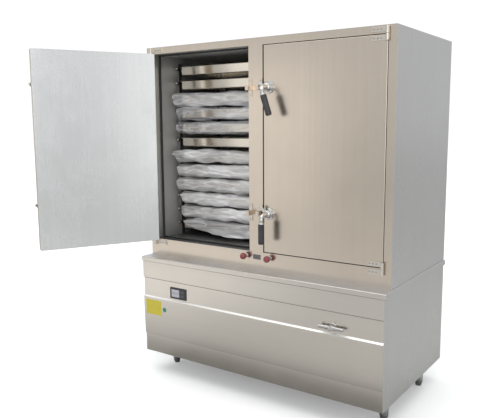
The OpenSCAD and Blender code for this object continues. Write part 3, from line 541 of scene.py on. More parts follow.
class Form:
    """A piece being modelled, in millimetres."""

    def __init__(self, place: Matrix = Matrix()) -> None:
        """Starts an empty piece.

        Args:
            place: Matrix from the frame that its shapes are drawn in to the cabinet's.
        """
        self.bm = bmesh.new()
        self.place = place

    @contextmanager
    def shape(self, own: Matrix = Matrix()) -> Iterator[bmesh.types.BMesh]:
        """Opens a bmesh for one shape, then sets it in place and joins it to the piece.

        Args:
            own: Matrix from the shape's own frame to the piece's.
        """
        bm = bmesh.new()
        yield bm
        place = self.place @ own
        bm.transform(place)
        if place.determinant() < 0:
            bmesh.ops.reverse_faces(bm, faces=bm.faces)
        joined = bpy.data.meshes.new("joined")
        bm.to_mesh(joined)
        bm.free()
        self.bm.from_mesh(joined)
        bpy.data.meshes.remove(joined)

    @staticmethod
    def cube(bm: bmesh.types.BMesh, low: Point, high: Point) -> None:
        """Fills a bmesh with a box between two corners.

        Args:
            bm: Mesh to fill.
            low: Lowest corner.
            high: Highest corner.
        """
        low, high = Vector(low), Vector(high)
        size = Matrix.LocRotScale((low + high) / 2, None, high - low)
        bmesh.ops.create_cube(bm, size=1.0, matrix=size)

    def block(self, low: Point, high: Point, radius: float, own: Matrix = Matrix()) -> None:
        """Adds a box between two corners with its edges rounded.

        Args:
            low: Lowest corner.
            high: Highest corner.
            radius: Radius of its edges.
            own: Matrix from the box's own frame to the piece's.
        """
        with self.shape(own) as bm:
            self.cube(bm, low, high)
            round_edges(bm, bm.edges, radius, 3)

    def tile(self, low: Point, high: Point, corner: float, edge: float) -> None:
        """Adds an upright plate whose corners, seen from the front, are round.

        Args:
            low: Lowest corner.
            high: Highest corner.
            corner: Radius of the four corners.
            edge: Radius of the front rim.
        """
        with self.shape() as bm:
            self.cube(bm, low, high)
            deep = [e for e in bm.edges if abs((e.verts[0].co - e.verts[1].co).y) > 1e-6]
            round_edges(bm, deep, corner, 6)
            front = min(bm.faces, key=lambda f: f.calc_center_median().y)
            round_edges(bm, front.edges, edge, 2)

    def bar(self, start: Point, end: Point, radius: float, edge: float, sides: int) -> None:
        """Adds a round bar from one point to another, its rims rounded by edge.

        Args:
            start: Middle of one end.
            end: Middle of the other.
            radius: Its radius.
            edge: Radius of its rims.
            sides: Faces round it.
        """
        run = Vector(end) - Vector(start)
        with self.shape(Matrix.Translation(start) @ towards(run)) as bm:
            middle = Matrix.Translation((0.0, 0.0, run.length / 2))
            bmesh.ops.create_cone(bm, cap_ends=True, segments=sides, radius1=radius, radius2=radius,
                                  depth=run.length, matrix=middle)
            rims = [e for e in bm.edges if any(len(f.verts) > 4 for f in e.link_faces)]
            round_edges(bm, rims, edge, 3)

    def lathe(self, profile: Sequence[tuple[float, float]], start: Point, axis: Point, steps: int = 40) -> None:
        """Adds a turned shape.

        Args:
            profile: Points (radius, distance along the axis), from axis to axis.
            start: Point on the axis where the distance is 0.
            axis: Direction of the axis.
            steps: Faces round the axis.
        """
        with self.shape(Matrix.Translation(start) @ towards(axis)) as bm:
            verts = [bm.verts.new((radius, 0.0, along)) for radius, along in profile]
            edges = [bm.edges.new(pair) for pair in zip(verts, verts[1:])]
            bmesh.ops.spin(bm, geom=verts + edges, axis=UP, cent=(0.0, 0.0, 0.0), angle=math.tau, steps=steps,
                           use_merge=True)
            bmesh.ops.remove_doubles(bm, verts=bm.verts, dist=1e-4)
            bmesh.ops.recalc_face_normals(bm, faces=bm.faces)

    def screw(self, head: Point, axis: Point, radius: float = 3.6) -> None:
        """Adds a button-head screw with a socket in its head."""
        profile = [(0.0, 0.0), (1.0, 0.0), (0.98, 0.18), (0.75, 0.42), (0.42, 0.5), (0.36, 0.2), (0.0, 0.2)]
        self.lathe([(r * radius, h * radius) for r, h in profile], head, axis, 12)

    def washer(self, hole: float, radius: float, thick: float, bevel: float, start: Point) -> None:
        """Adds a washer that faces forward, its rim bevelled."""
        self.lathe([(hole, 0.0), (radius, 0.0), (radius, thick - bevel), (radius - bevel, thick), (hole, thick),
                    (hole, 0.0)], start, OUT)

    def make(self, name: str, finish: Finish, body: str, slot: str | None = None,
             replaces: Sequence[str] = (), smooth: float = 38.0) -> bpy.types.Object:
        """Turns the piece into an object that rides on a body.

        Args:
            name: Name of the piece.
            finish: Its finish.
            body: Body it moves with.
            slot: Material slot of the record; not used.
            replaces: CAD nodes that it stands for.
            smooth: Largest angle, in degrees, that is shaded smooth.

        Returns:
            The finished object.
        """
        self.bm.transform(Matrix.Scale(MM, 4))
        mesh = bpy.data.meshes.new(name)
        self.bm.to_mesh(mesh)
        self.bm.free()
        stale = mesh.attributes.get("custom_normal")
        if stale:
            mesh.attributes.remove(stale)
        mesh.shade_smooth()
        mesh.set_sharp_from_angle(angle=math.radians(smooth))
        mesh.materials.append(finish.material())
        piece = shown(name, mesh)
        weighted = piece.modifiers.new("even_shading", "WEIGHTED_NORMAL")
        weighted.keep_sharp = True
        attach(piece, body)
        if replaces:
            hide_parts(*replaces)
        LOG.info("%s: %d faces, rides on %s", name, len(mesh.polygons), body)
        return piece


class Softened(Form):
    """A copy of a CAD node with its folds rounded and its sheet edges eased."""

    SHARP = math.radians(35.0)

    def __init__(self, node: str, fold: float, rim: float = 0.0, thin: float = 4.0) -> None:
        """Copies a node and rounds its edges.

        Args:
            node: CAD node to copy.
            fold: Radius of folds between two wide faces.
            rim: Radius of the other sharp edges, or 0 to leave them.
            thin: Faces narrower than this count as sheet edges.
        """
        super().__init__()
        self.node = node
        self.others: list[Finish] = []
        self.bm.from_mesh(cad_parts[node].data)
        self.bm.transform(Matrix.Scale(1.0 / MM, 4))
        bmesh.ops.remove_doubles(self.bm, verts=self.bm.verts, dist=0.004)
        bmesh.ops.dissolve_limit(self.bm, angle_limit=math.radians(0.6), verts=self.bm.verts,
                                 edges=self.bm.edges)
        wide = [e for e in self.sharp() if all(self.width(f) > thin for f in e.link_faces)]
        if wide:
            round_edges(self.bm, wide, fold, 3)
        if rim:
            round_edges(self.bm, self.sharp(), rim, 2)
        bmesh.ops.dissolve_degenerate(self.bm, dist=0.002, edges=self.bm.edges)

    def sharp(self) -> list[bmesh.types.BMEdge]:
        """Convex edges that turn sharply."""
        return [e for e in self.bm.edges
                if len(e.link_faces) == 2 and e.calc_face_angle_signed() > self.SHARP]

    @staticmethod
    def width(face: bmesh.types.BMFace) -> float:
        """Mean width of a face."""
        return 2.0 * face.calc_area() / face.calc_perimeter()

    def stand_in(self, finish: Finish, body: str, slot: str) -> bpy.types.Object:
        """Makes the copy, in its finishes, and shows it in place of its node.

        Args:
            finish: Finish of the faces that weren't marked.
            body: Body it moves with.
            slot: Material slot of the record.

        Returns:
            The finished object.
        """
        piece = self.make(self.node + "_dressed", finish, body, slot, [self.node])
        for other in self.others:
            piece.data.materials.append(other.material())
        return piece

    def split(self, height: float) -> None:
        """Cuts the faces at a height, so that those above it can have another finish."""
        bmesh.ops.bisect_plane(self.bm, geom=self.bm.verts[:] + self.bm.edges[:] + self.bm.faces[:],
                               plane_co=(0.0, 0.0, height), plane_no=UP)

    def mark(self, finish: Finish, test: Callable[[bmesh.types.BMFace], bool]) -> None:
        """Gives the faces that pass a test another finish.

        Args:
            finish: Their finish.
            test: Says whether a face takes it.
        """
        self.others.append(finish)
        for face in self.bm.faces:
            if test(face):
                face.material_index = len(self.others)


def dress(node: str, finish: Finish) -> None:
    """Gives a CAD node that stays in view a finish.

    Args:
        node: Name of the node.
        finish: Its finish.
    """
    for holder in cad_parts[node].material_slots:
        holder.material = finish.material()
    LOG.info("%s: CAD node in %s", node, finish.name)


def level_below(height: float) -> Callable[[bmesh.types.BMFace], bool]:
    """Test for faces that look up from below a height."""
    return lambda face: face.normal.z > FACING and face.calc_center_median().z < height


def back_screws(name: str, rows: Sequence[float]) -> None:
    """Makes the screws round a back sheet.

    Args:
        name: Name of the piece.
        rows: Heights of the screws at its sides, from its lowest row to its highest.
    """
    form = Form()
    spots = [(x, z) for z in rows for x in (-BACK_SCREW_SIDE, BACK_SCREW_SIDE)]
    spots += [(x, z) for x in BACK_SCREW_COLUMNS for z in (rows[0], rows[-1])]
    for x, z in spots:
        form.screw((x, BACK_Y, z), BACK)
    form.make(name, SCREW_STEEL, CABINET, HARDWARE)


def hinge_screws(form: Form, rows: Sequence[float], side: float = 1.0) -> None:
    """Adds the screws of the hinge leaves on one side.

    Args:
        form: Piece that takes them.
        rows: Their heights.
        side: 1 for the right hinges, -1 for the left.
    """
    for z in rows:
        for x in HINGE_SCREWS:
            form.screw((side * x, FRONT_Y - HINGE_OUT, z), OUT, HINGE_SCREW_R)


class Side(Enum):
    """A door's side and the matrix from the closed right door to it."""

    LEFT = ("left", LEFT_PLACE)
    RIGHT = ("right", Matrix())

    @property
    def word(self) -> str:
        """Name of the side."""
        return self.value[0]

    @property
    def place(self) -> Matrix:
        """Matrix from the closed right door to this side's door."""
        return self.value[1]


@dataclass
class Casing:
    """Upper box: shell, back, door frame, chambers, wool and door seals."""

    shell_fold: float = 3.0
    shell_rim: float = 0.5
    frame_fold: float = 2.0
    seal_round: float = 3.0
    chamber_fold: float = 1.0
    sill_top: float = 750.0
    floor_top: float = 770.0
    screw_rows: tuple[float, ...] = (690.0, 955.0, 1220.0, 1485.0, 1750.0)

    def build(self) -> None:
        """Makes and dresses the pieces of the upper box."""
        Softened("upper_shell", self.shell_fold, self.shell_rim).stand_in(SIDE, CABINET, "side_steel")
        front = Softened("face_frame", self.frame_fold)
        front.mark(JAMB, lambda face: face.normal.y > -0.5)
        # The face frame's upward faces below the sill top take near-black steel: painted shade.
        front.mark(PAINTED_SHADE_STEEL, level_below(self.sill_top))
        front.stand_in(FRONT_PAINTED_REFLECTION, CABINET, "front_steel")
        Softened("door_seals", self.seal_round).stand_in(RUBBER, CABINET, "seal_rubber")
        for node in ("left_chamber", "right_chamber"):
            chamber = Softened(node, self.chamber_fold)
            # The chamber faces that look up, low down, take a dark colour: painted shade.
            chamber.mark(CHAMBER_FLOOR_PAINTED_SHADE, level_below(self.floor_top))
            chamber.stand_in(CHAMBER, CABINET, "chamber_steel")
        dress("upper_back", SIDE)
        dress("insulation", WOOL)
        back_screws("upper_back_screws", self.screw_rows)


@dataclass
class Latch:
    """Turning latch: cast lever, tongue and grip, drawn for the right door with the grip hanging."""

    side: Side
    level: str
    lean: float = 0.0
    hub_out: float = 20.0
    hub_r: float = 18.0
    bend_out: float = 46.0
    bend_r: float = 23.0
    rod_r: float = 10.0
    spindle_r: float = 7.0
    spindle_in: float = 30.0
    tongue_l: float = 49.0
    tongue_half: float = 7.0
    throw: float = 45.0
    grip_top: float = 41.0
    grip_r: float = 15.0
    grip_l: float = 97.0
    groove: float = 18.0

    @property
    def name(self) -> str:
        """Name of this latch."""
        return f"{self.side.word}_{self.level}"

    @property
    def place(self) -> Matrix:
        """Matrix from the latch's own frame, on its spindle axis, to the cabinet's."""
        at = Matrix.Translation((SPINDLE_X, FRONT_Y, LATCH_HEIGHTS[self.level]))
        return self.side.place @ at @ Matrix.Rotation(-math.radians(self.lean), 4, "Y")

    @property
    def hang_y(self) -> float:
        """Where the rod and its grip hang, in front of the door."""
        return -self.bend_out - self.bend_r

    def build(self) -> None:
        """Makes the lever and the grip."""
        self.lever()
        self.grip()

    def lever(self) -> None:
        """Spindle, hub, neck, bend and tongue."""
        form = Form(self.place)
        spindle, inner, hub, rod, out = self.spindle_r, -self.spindle_in, self.hub_r, self.rod_r, self.hub_out
        form.lathe([(0.0, inner), (spindle - 1.0, inner), (spindle, inner + 1.0), (spindle, out), (hub - 1.2, out),
                    (hub, out + 1.2), (hub, out + 6.4), (hub - 1.6, out + 8.0), (14.0, out + 9.0), (12.4, out + 12.0),
                    (rod + 0.6, out + 18.0), (rod, out + 26.0), (rod, self.bend_out + 0.5), (0.0, self.bend_out + 0.5)],
                   (0.0, 0.0, 0.0), OUT)
        with form.shape() as bm:
            ring = towards(OUT)
            ring.translation = (0.0, -self.bend_out, 0.0)
            bmesh.ops.create_circle(bm, segments=28, radius=rod, matrix=ring)
            bmesh.ops.spin(bm, geom=bm.verts[:] + bm.edges[:], cent=(0.0, -self.bend_out, -self.bend_r),
                           axis=(1.0, 0.0, 0.0), angle=math.pi / 2, steps=12)
            bmesh.ops.holes_fill(bm, edges=[e for e in bm.edges if e.is_boundary])
            bmesh.ops.recalc_face_normals(bm, faces=bm.faces)
        drop = self.grip_top - self.bend_r
        form.lathe([(0.0, -1.0), (rod, -1.0), (rod, drop - 5.0), (rod + 2.2, drop - 3.4), (rod + 2.8, drop - 1.6),
                    (rod + 2.8, drop), (0.0, drop)], (0.0, self.hang_y, -self.bend_r), DOWN)
        form.block((-self.tongue_l, -out - 7.5, -self.tongue_half), (0.0, -out - 0.5, self.tongue_half), 1.8,
                   Matrix.Rotation(math.radians(self.throw), 4, "Y"))
        form.make(self.name + "_lever_cast", CAST, self.name + "_latch", HARDWARE, [self.name + "_lever"])

    def grip(self) -> None:
        """Black sleeve with a groove above its end cap."""
        form = Form(self.place)
        r, long = self.grip_r, self.grip_l
        groove = long - self.groove
        form.lathe([(0.0, 0.0), (r - 1.8, 0.0), (r - 0.5, 1.0), (r, 3.5), (r, 0.2 * long), (r - 0.5, 0.5 * long),
                    (r - 0.2, groove - 5.0), (r - 0.2, groove - 1.1), (r - 0.9, groove - 0.5), (r - 0.9, groove + 0.5),
                    (r - 0.2, groove + 1.1), (r - 0.3, long - 6.0), (r - 1.5, long - 1.8), (r - 3.6, long),
                    (0.0, long)], (0.0, self.hang_y, -self.grip_top), DOWN)
        form.make(self.name + "_grip_sleeve", GRIP, self.name + "_latch", "grip_plastic", [self.name + "_grip"])


@dataclass
class Door:
    """One door leaf with its hinge leaves, latch plates and two latches."""

    side: Side
    leans: dict[str, float]
    skin_fold: float = 3.0
    liner_fold: float = 0.5
    liner_rim: float = 0.7
    hinge_rows: tuple[float, ...] = (1714.0, 761.0)
    rosette_r: float = 29.0
    rosette_t: float = 6.0
    boss_r: float = 18.0
    boss_out: float = 19.5
    bore_r: float = 7.1
    screw_ring: float = 23.6
    screw_turns: tuple[float, ...] = (0.5, 1.83, 3.17)
    screw_r: float = 2.6

    @property
    def body(self) -> str:
        """Body of this door."""
        return self.side.word + "_door"

    def build(self) -> None:
        """Makes and dresses the door's pieces."""
        word = self.side.word
        Softened(word + "_door_skin", self.skin_fold).stand_in(FRONT_PAINTED_REFLECTION, self.body, "front_steel")
        liner = Softened(word + "_door_liner", self.liner_fold, self.liner_rim)
        liner.stand_in(INNER_DOOR_PAINTED_REFLECTION, self.body, "door_inner_steel")
        Softened(word + "_hinge_leaves", HINGE_FOLD).stand_in(HINGE_PAINTED_REFLECTION, self.body, HARDWARE)
        dress(word + "_door_core", WOOL)
        self.rosettes()
        self.screws()
        for level, lean in self.leans.items():
            Latch(self.side, level, lean).build()

    def rosettes(self) -> None:
        """Round plates with a raised boss round each spindle."""
        form = Form(self.side.place)
        r, t, boss, out, bore = self.rosette_r, self.rosette_t, self.boss_r, self.boss_out, self.bore_r
        for z in LATCH_HEIGHTS.values():
            form.lathe([(bore, 0.0), (r, 0.0), (r, t - 1.8), (r - 1.6, t), (boss + 2.4, t + 0.4),
                        (boss + 0.5, t + 2.2), (boss, t + 5.0), (boss, out - 1.0), (boss - 1.0, out), (bore, out),
                        (bore, 0.0)], (SPINDLE_X, FRONT_Y, z), OUT)
        form.make(self.side.word + "_latch_plates", CAST, self.body, HARDWARE, [self.side.word + "_rosettes"])

    def screws(self) -> None:
        """Screws of the hinge leaves and the latch plates."""
        form = Form(self.side.place)
        hinge_screws(form, self.hinge_rows)
        for z in LATCH_HEIGHTS.values():
            for turn in self.screw_turns:
                angle = turn * math.tau / 4
                form.screw((SPINDLE_X + self.screw_ring * math.cos(angle), FRONT_Y - self.rosette_t,
                            z + self.screw_ring * math.sin(angle)), OUT, self.screw_r)
        form.make(self.side.word + "_door_screws", SCREW_STEEL, self.body, HARDWARE)


@dataclass
class FrameHardware:
    """Hinge leaves and latch keepers on the door frame."""

    hinge_rows: tuple[float, ...] = (1750.0, 725.0)
    keeper_out: float = 3.0
    keeper_x: float = 31.0
    keeper_fold: float = 1.0
    keeper_rim: float = 0.5
    keeper_thin: float = 3.5
    keeper_screw: float = 32.0
    screw_r: float = 3.0

    def build(self) -> None:
        """Makes the leaves, the keepers and their screws."""
        Softened("hinge_frame_leaves", HINGE_FOLD).stand_in(HINGE_PAINTED_REFLECTION, CABINET, HARDWARE)
        keepers = Softened("latch_keepers", self.keeper_fold, self.keeper_rim, self.keeper_thin)
        # The keepers' side faces take near-black steel: a painted shadow of the gap beside them.
        keepers.mark(PAINTED_SHADE_STEEL, lambda face: abs(face.normal.x) > FACING
                     and face.calc_center_median().y > FRONT_Y - self.keeper_out)
        keepers.stand_in(FRONT_PAINTED_REFLECTION, CABINET, HARDWARE)
        form = Form()
        for side in (-1.0, 1.0):
            hinge_screws(form, self.hinge_rows, side)
            for z in LATCH_HEIGHTS.values():
                for drop in (-self.keeper_screw, self.keeper_screw):
                    form.screw((side * self.keeper_x, FRONT_Y - self.keeper_out, z + drop), OUT, self.screw_r)
        form.make("frame_screws", SCREW_STEEL, CABINET, HARDWARE)


@dataclass
class Damper:
    """Steam damper: ball knob, rod and gate."""

    side: Side
    rod_x: float
    ball_r: float = 16.5
    ball_out: float = 25.5
    rod_r: float = 5.0
    row_z: float = 718.0
    rod_back: float = -200.0
    gate_half_t: float = 2.0
    gate_r: float = 22.5
    riser_x: float = 90.0
    riser_y: float = -161.0
    gate_front: float = -206.0
    gate_bar: float = 12.0
    gate_edge: float = 0.4

    @property
    def flip(self) -> Matrix:
        """Mirror for the left damper."""
        return MIRROR if self.side is Side.LEFT else Matrix()

    def build(self) -> None:
        """Makes the ball, the rod with its gate, and the rod's washer on the frame."""
        word, x, z, r = self.side.word, self.rod_x, self.row_z, self.ball_r
        body = word + "_steam_damper"
        ball_back = FRONT_Y - self.ball_out + r
        ball = Form(self.flip)
        arc = [(r * math.sin(a), r - r * math.cos(a)) for a in (math.pi * i / 18 for i in range(19))]
        neck = [(p, h) for p, h in arc if h > 2.4 or p > 6.8]
        ball.lathe([(0.0, 0.0), (6.6, 0.0), (6.9, 1.2)] + neck, (x, ball_back, z), OUT)
        ball.make(word + "_damper_ball", RED_BALL, body, "damper_red", [word + "_damper"])
        rod = Form(self.flip)
        rod.bar((x, ball_back - 1.0, z), (x, self.rod_back, z), self.rod_r, 0.6, 24)
        rod.lathe([(0.0, 0.0), (7.2, 0.0), (7.6, 0.6), (7.6, 3.6), (7.0, 4.2), (0.0, 4.2)],
                  (x, ball_back - 0.5, z), BACK)
        self.gate(rod)
        rod.make(word + "_damper_rod", RACK_STEEL, body, HARDWARE)
        washer = Form(self.flip)
        washer.washer(self.rod_r + 0.4, 11.0, 1.8, 1.0, (x, FRONT_Y, z))
        washer.make(word + "_damper_washer", CAST, CABINET, HARDWARE)

    def gate(self, rod: Form) -> None:
        """Adds the gate that closes the steam riser, and the bar that joins it to the rod.

        Args:
            rod: Piece that takes them.
        """
        x, y, r = self.riser_x, self.riser_y, self.gate_r
        low, high = self.row_z - self.gate_half_t, self.row_z + self.gate_half_t
        rod.bar((x, y, low), (x, y, high), r, self.gate_edge, 40)
        rod.block((x - r, self.gate_front, low), (x + r, y, high), self.gate_edge)
        rod.block((min(x - r, self.rod_x - self.rod_r), self.gate_front, low),
                  (max(x + r, self.rod_x + self.rod_r), self.gate_front + self.gate_bar, high), self.gate_edge)


@dataclass
class DrainCock:
    """T-handle of the drain, with its stem and plug."""

    x: float = 457.0
    z: float = 465.0
    panel_y: float = -389.0
    bar_y: float = -409.0
    plug_front: float = -326.7
    plug_back: float = -272.7
    plug_r: float = 15.0
    washer_r: float = 19.0
    stem_r: float = 6.0
    collar_r: float = 9.5
    bar_half: float = 63.0
    bar_r: float = 8.0
    hub_r: float = 12.0
    hub_half: float = 10.0

    def build(self) -> None:
        """Makes the handle and the washer where its stem leaves the panel."""
        form = Form()
        front, plug, back = -self.bar_y + self.hub_half, -self.plug_front, -self.plug_back
        foot, hub, stem, collar = front - 2 * self.hub_half, self.hub_r, self.stem_r, self.collar_r
        form.lathe([(0.0, back - 3.0), (self.washer_r, back - 3.0), (self.washer_r, back), (self.plug_r, back),
                    (self.plug_r, plug), (stem, plug), (stem, foot - 5.0), (collar, foot - 4.0), (collar, foot),
                    (hub, foot + 0.8), (hub, front - 1.6), (hub - 2.0, front), (5.0, front + 0.3), (0.0, front + 0.3)],
                   (self.x, 0.0, self.z), OUT)
        form.lathe(self.bar_profile(), (self.x - self.bar_half, self.bar_y, self.z), (1.0, 0.0, 0.0))
        form.make("drain_t_handle", CAST, "drain_cock", HARDWARE, ["drain_handle"])
        washer = Form()
        washer.washer(stem + 0.5, 17.0, 2.8, 1.6, (self.x, self.panel_y, self.z))
        washer.make("drain_washer", CAST, CABINET, HARDWARE)

    def bar_profile(self) -> list[tuple[float, float]]:
        """Half of the T-bar's outline and its mirror image, with collars beside the hub.

        Returns:
            Points (radius, distance from the bar's left end).
        """
        r, half = self.bar_r, self.bar_half
        end = [(0.0, 0.0), (r - 2.5, 0.3), (r - 0.4, 2.0), (r, 4.5), (r, half - 27.0), (r + 2.2, half - 25.6),
               (r + 2.2, half - 17.0), (r, half - 15.6), (r, half - 8.0)]
        return end + [(radius, 2 * half - along) for radius, along in reversed(end)]


@dataclass
class ControlPanel:
    """Bezel, display and keys on the control strip."""

    corner: float = 6.0
    window_x: float = -472.5
    window_z: float = 475.0
    glass_y: float = -393.7
    cell: tuple[float, float] = (8.0, 13.0)
    cell_pitch: float = 11.4
    cell_corner: float = 1.0
    cell_edge: float = 0.05
    cell_out: float = 0.15
    cell_in: float = 0.2
    bezel_rim: float = 0.8
    glass_fold: float = 0.5
    key_fold: float = 0.9

    def build(self) -> None:
        """Makes the bezel, the display with its cells and the keys."""
        self.bezel()
        Softened("display_window", self.glass_fold).stand_in(DISPLAY, CABINET, "display_glass")
        cells = Form()
        width, height = self.cell
        for i in range(4):
            x = self.window_x + (i - 1.5) * self.cell_pitch
            cells.tile((x - width / 2, self.glass_y - self.cell_out, self.window_z - height / 2),
                       (x + width / 2, self.glass_y + self.cell_in, self.window_z + height / 2),
                       self.cell_corner, self.cell_edge)
        cells.make("display_cells", SEGMENT, CABINET, "display_glass")
        for key in ("upper", "lower"):
            Softened(key + "_key", self.key_fold).stand_in(KEY_CAP, key + "_control_key", "bezel_plastic")
        dress("control_box", BOX_GREY)

    def bezel(self) -> None:
        """Bezel with round corners."""
        form = Softened("control_bezel", 0.0001, 0.0, 1000.0)
        low, high = (Vector(c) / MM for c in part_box("control_bezel"))
        corners = [e for e in form.sharp() if self.outer(e, low, high)]
        round_edges(form.bm, corners, self.corner, 5)
        rims = [e for e in form.sharp() if all(abs(v.co.y - low.y) < 1e-3 for v in e.verts)]
        round_edges(form.bm, rims, self.bezel_rim, 2)
        form.stand_in(BEZEL, CABINET, "bezel_plastic")

    @staticmethod
    def outer(edge: bmesh.types.BMEdge, low: Vector, high: Vector) -> bool:
        """Whether an edge is one of the four outer corners of the flange."""
        return all(min(abs(v.co.x - low.x), abs(v.co.x - high.x)) < 1e-3
                   and min(abs(v.co.z - low.z), abs(v.co.z - high.z)) < 1e-3 for v in edge.verts)


@dataclass
class Tray:
    """One pressed steel tray and, where it is wrapped, its film."""

    number: int
    drape: "Drape | None"
    rim_corner: float = 23.0
    rim: float = 9.0
    draft: float = 4.0
    sheet: float = 1.2

    @property
    def node(self) -> str:
        """CAD node of this tray."""
        return f"tray_{self.number:02d}"

    @property
    def body(self) -> str:
        """Body of this tray."""
        return f"sliding_tray_{self.number:02d}"

    def build(self) -> None:
        """Makes the tray and its film."""
        low, high = (Vector(c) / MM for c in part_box(self.node))
        self.pan(low, high)
        if self.drape:
            Wrap(self.number, low, high, self.drape).build(self.body, self.node)

    def pan(self, low: Vector, high: Vector) -> None:
        """Presses the pan: a curled rim, leaning walls and a round floor edge.

        Args:
            low: Lowest corner of the tray.
            high: Highest corner.
        """
        form = Form()
        size = high - low
        start = Matrix.LocRotScale(Vector(((low.x + high.x) / 2, (low.y + high.y) / 2, high.z - 3.4)), None,
                                   Vector((size.x, size.y, 1.0)))
        wall = size.z - self.sheet - 7.2
        steps = [(0.5, 1.6), (0.9, 1.1), (1.4, 0.7), (self.rim - 5.4, 0.0), (1.2, -0.5), (0.8, -1.3),
                 (self.draft - 0.8, -wall), (0.8, -2.2), (1.4, -1.7), (2.0, -1.1), (2.6, -0.4)]
        with form.shape() as bm:
            bmesh.ops.create_grid(bm, x_segments=1, y_segments=1, size=0.5, matrix=start)
            bmesh.ops.bevel(bm, geom=bm.verts[:], offset=self.rim_corner, offset_type="OFFSET", affect="VERTICES",
                            segments=10, profile=0.5, material=-1)
            bm.faces.ensure_lookup_table()
            floor = bm.faces[0]
            for inset, rise in steps:
                bmesh.ops.inset_region(bm, faces=[floor], thickness=inset, depth=rise, use_boundary=True,
                                       use_even_offset=True)
        piece = form.make(self.node + "_pressed", TRAY_PAINTED_REFLECTION, self.body, "tray_steel", [self.node], smooth=50.0)
        wall_made = piece.modifiers.new("sheet", "SOLIDIFY")
        wall_made.thickness = self.sheet * MM
        wall_made.offset = -1.0
        piece.modifiers.move(1, 0)


def eased(share: float) -> float:
    """Smooth step from 0 to 1."""
    share = min(1.0, max(0.0, share))
    return share * share * (3.0 - 2.0 * share)


@dataclass(frozen=True)
class Drape:
    """How one tray's film hangs.

    Attributes:
        rise: How far its top stands over the rim.
        sag: How far it hangs under the floor, at its left and right ends.
        forward: How far its left end hangs forward.
        pinch: Share by which that end is drawn together.
        pinch_z: Height that it is drawn to, from the rim.
        short: How far its left end stops short of the tray's.
        skirt: How far its lower edge lies forward, right of the middle.
        finish: Its film.
    """

    rise: float
    sag: tuple[float, float]
    forward: float
    pinch: float
    pinch_z: float = -24.0
    short: float = 0.0
    skirt: float = 0.0
    finish: ClearFilm = HAZY_FILM


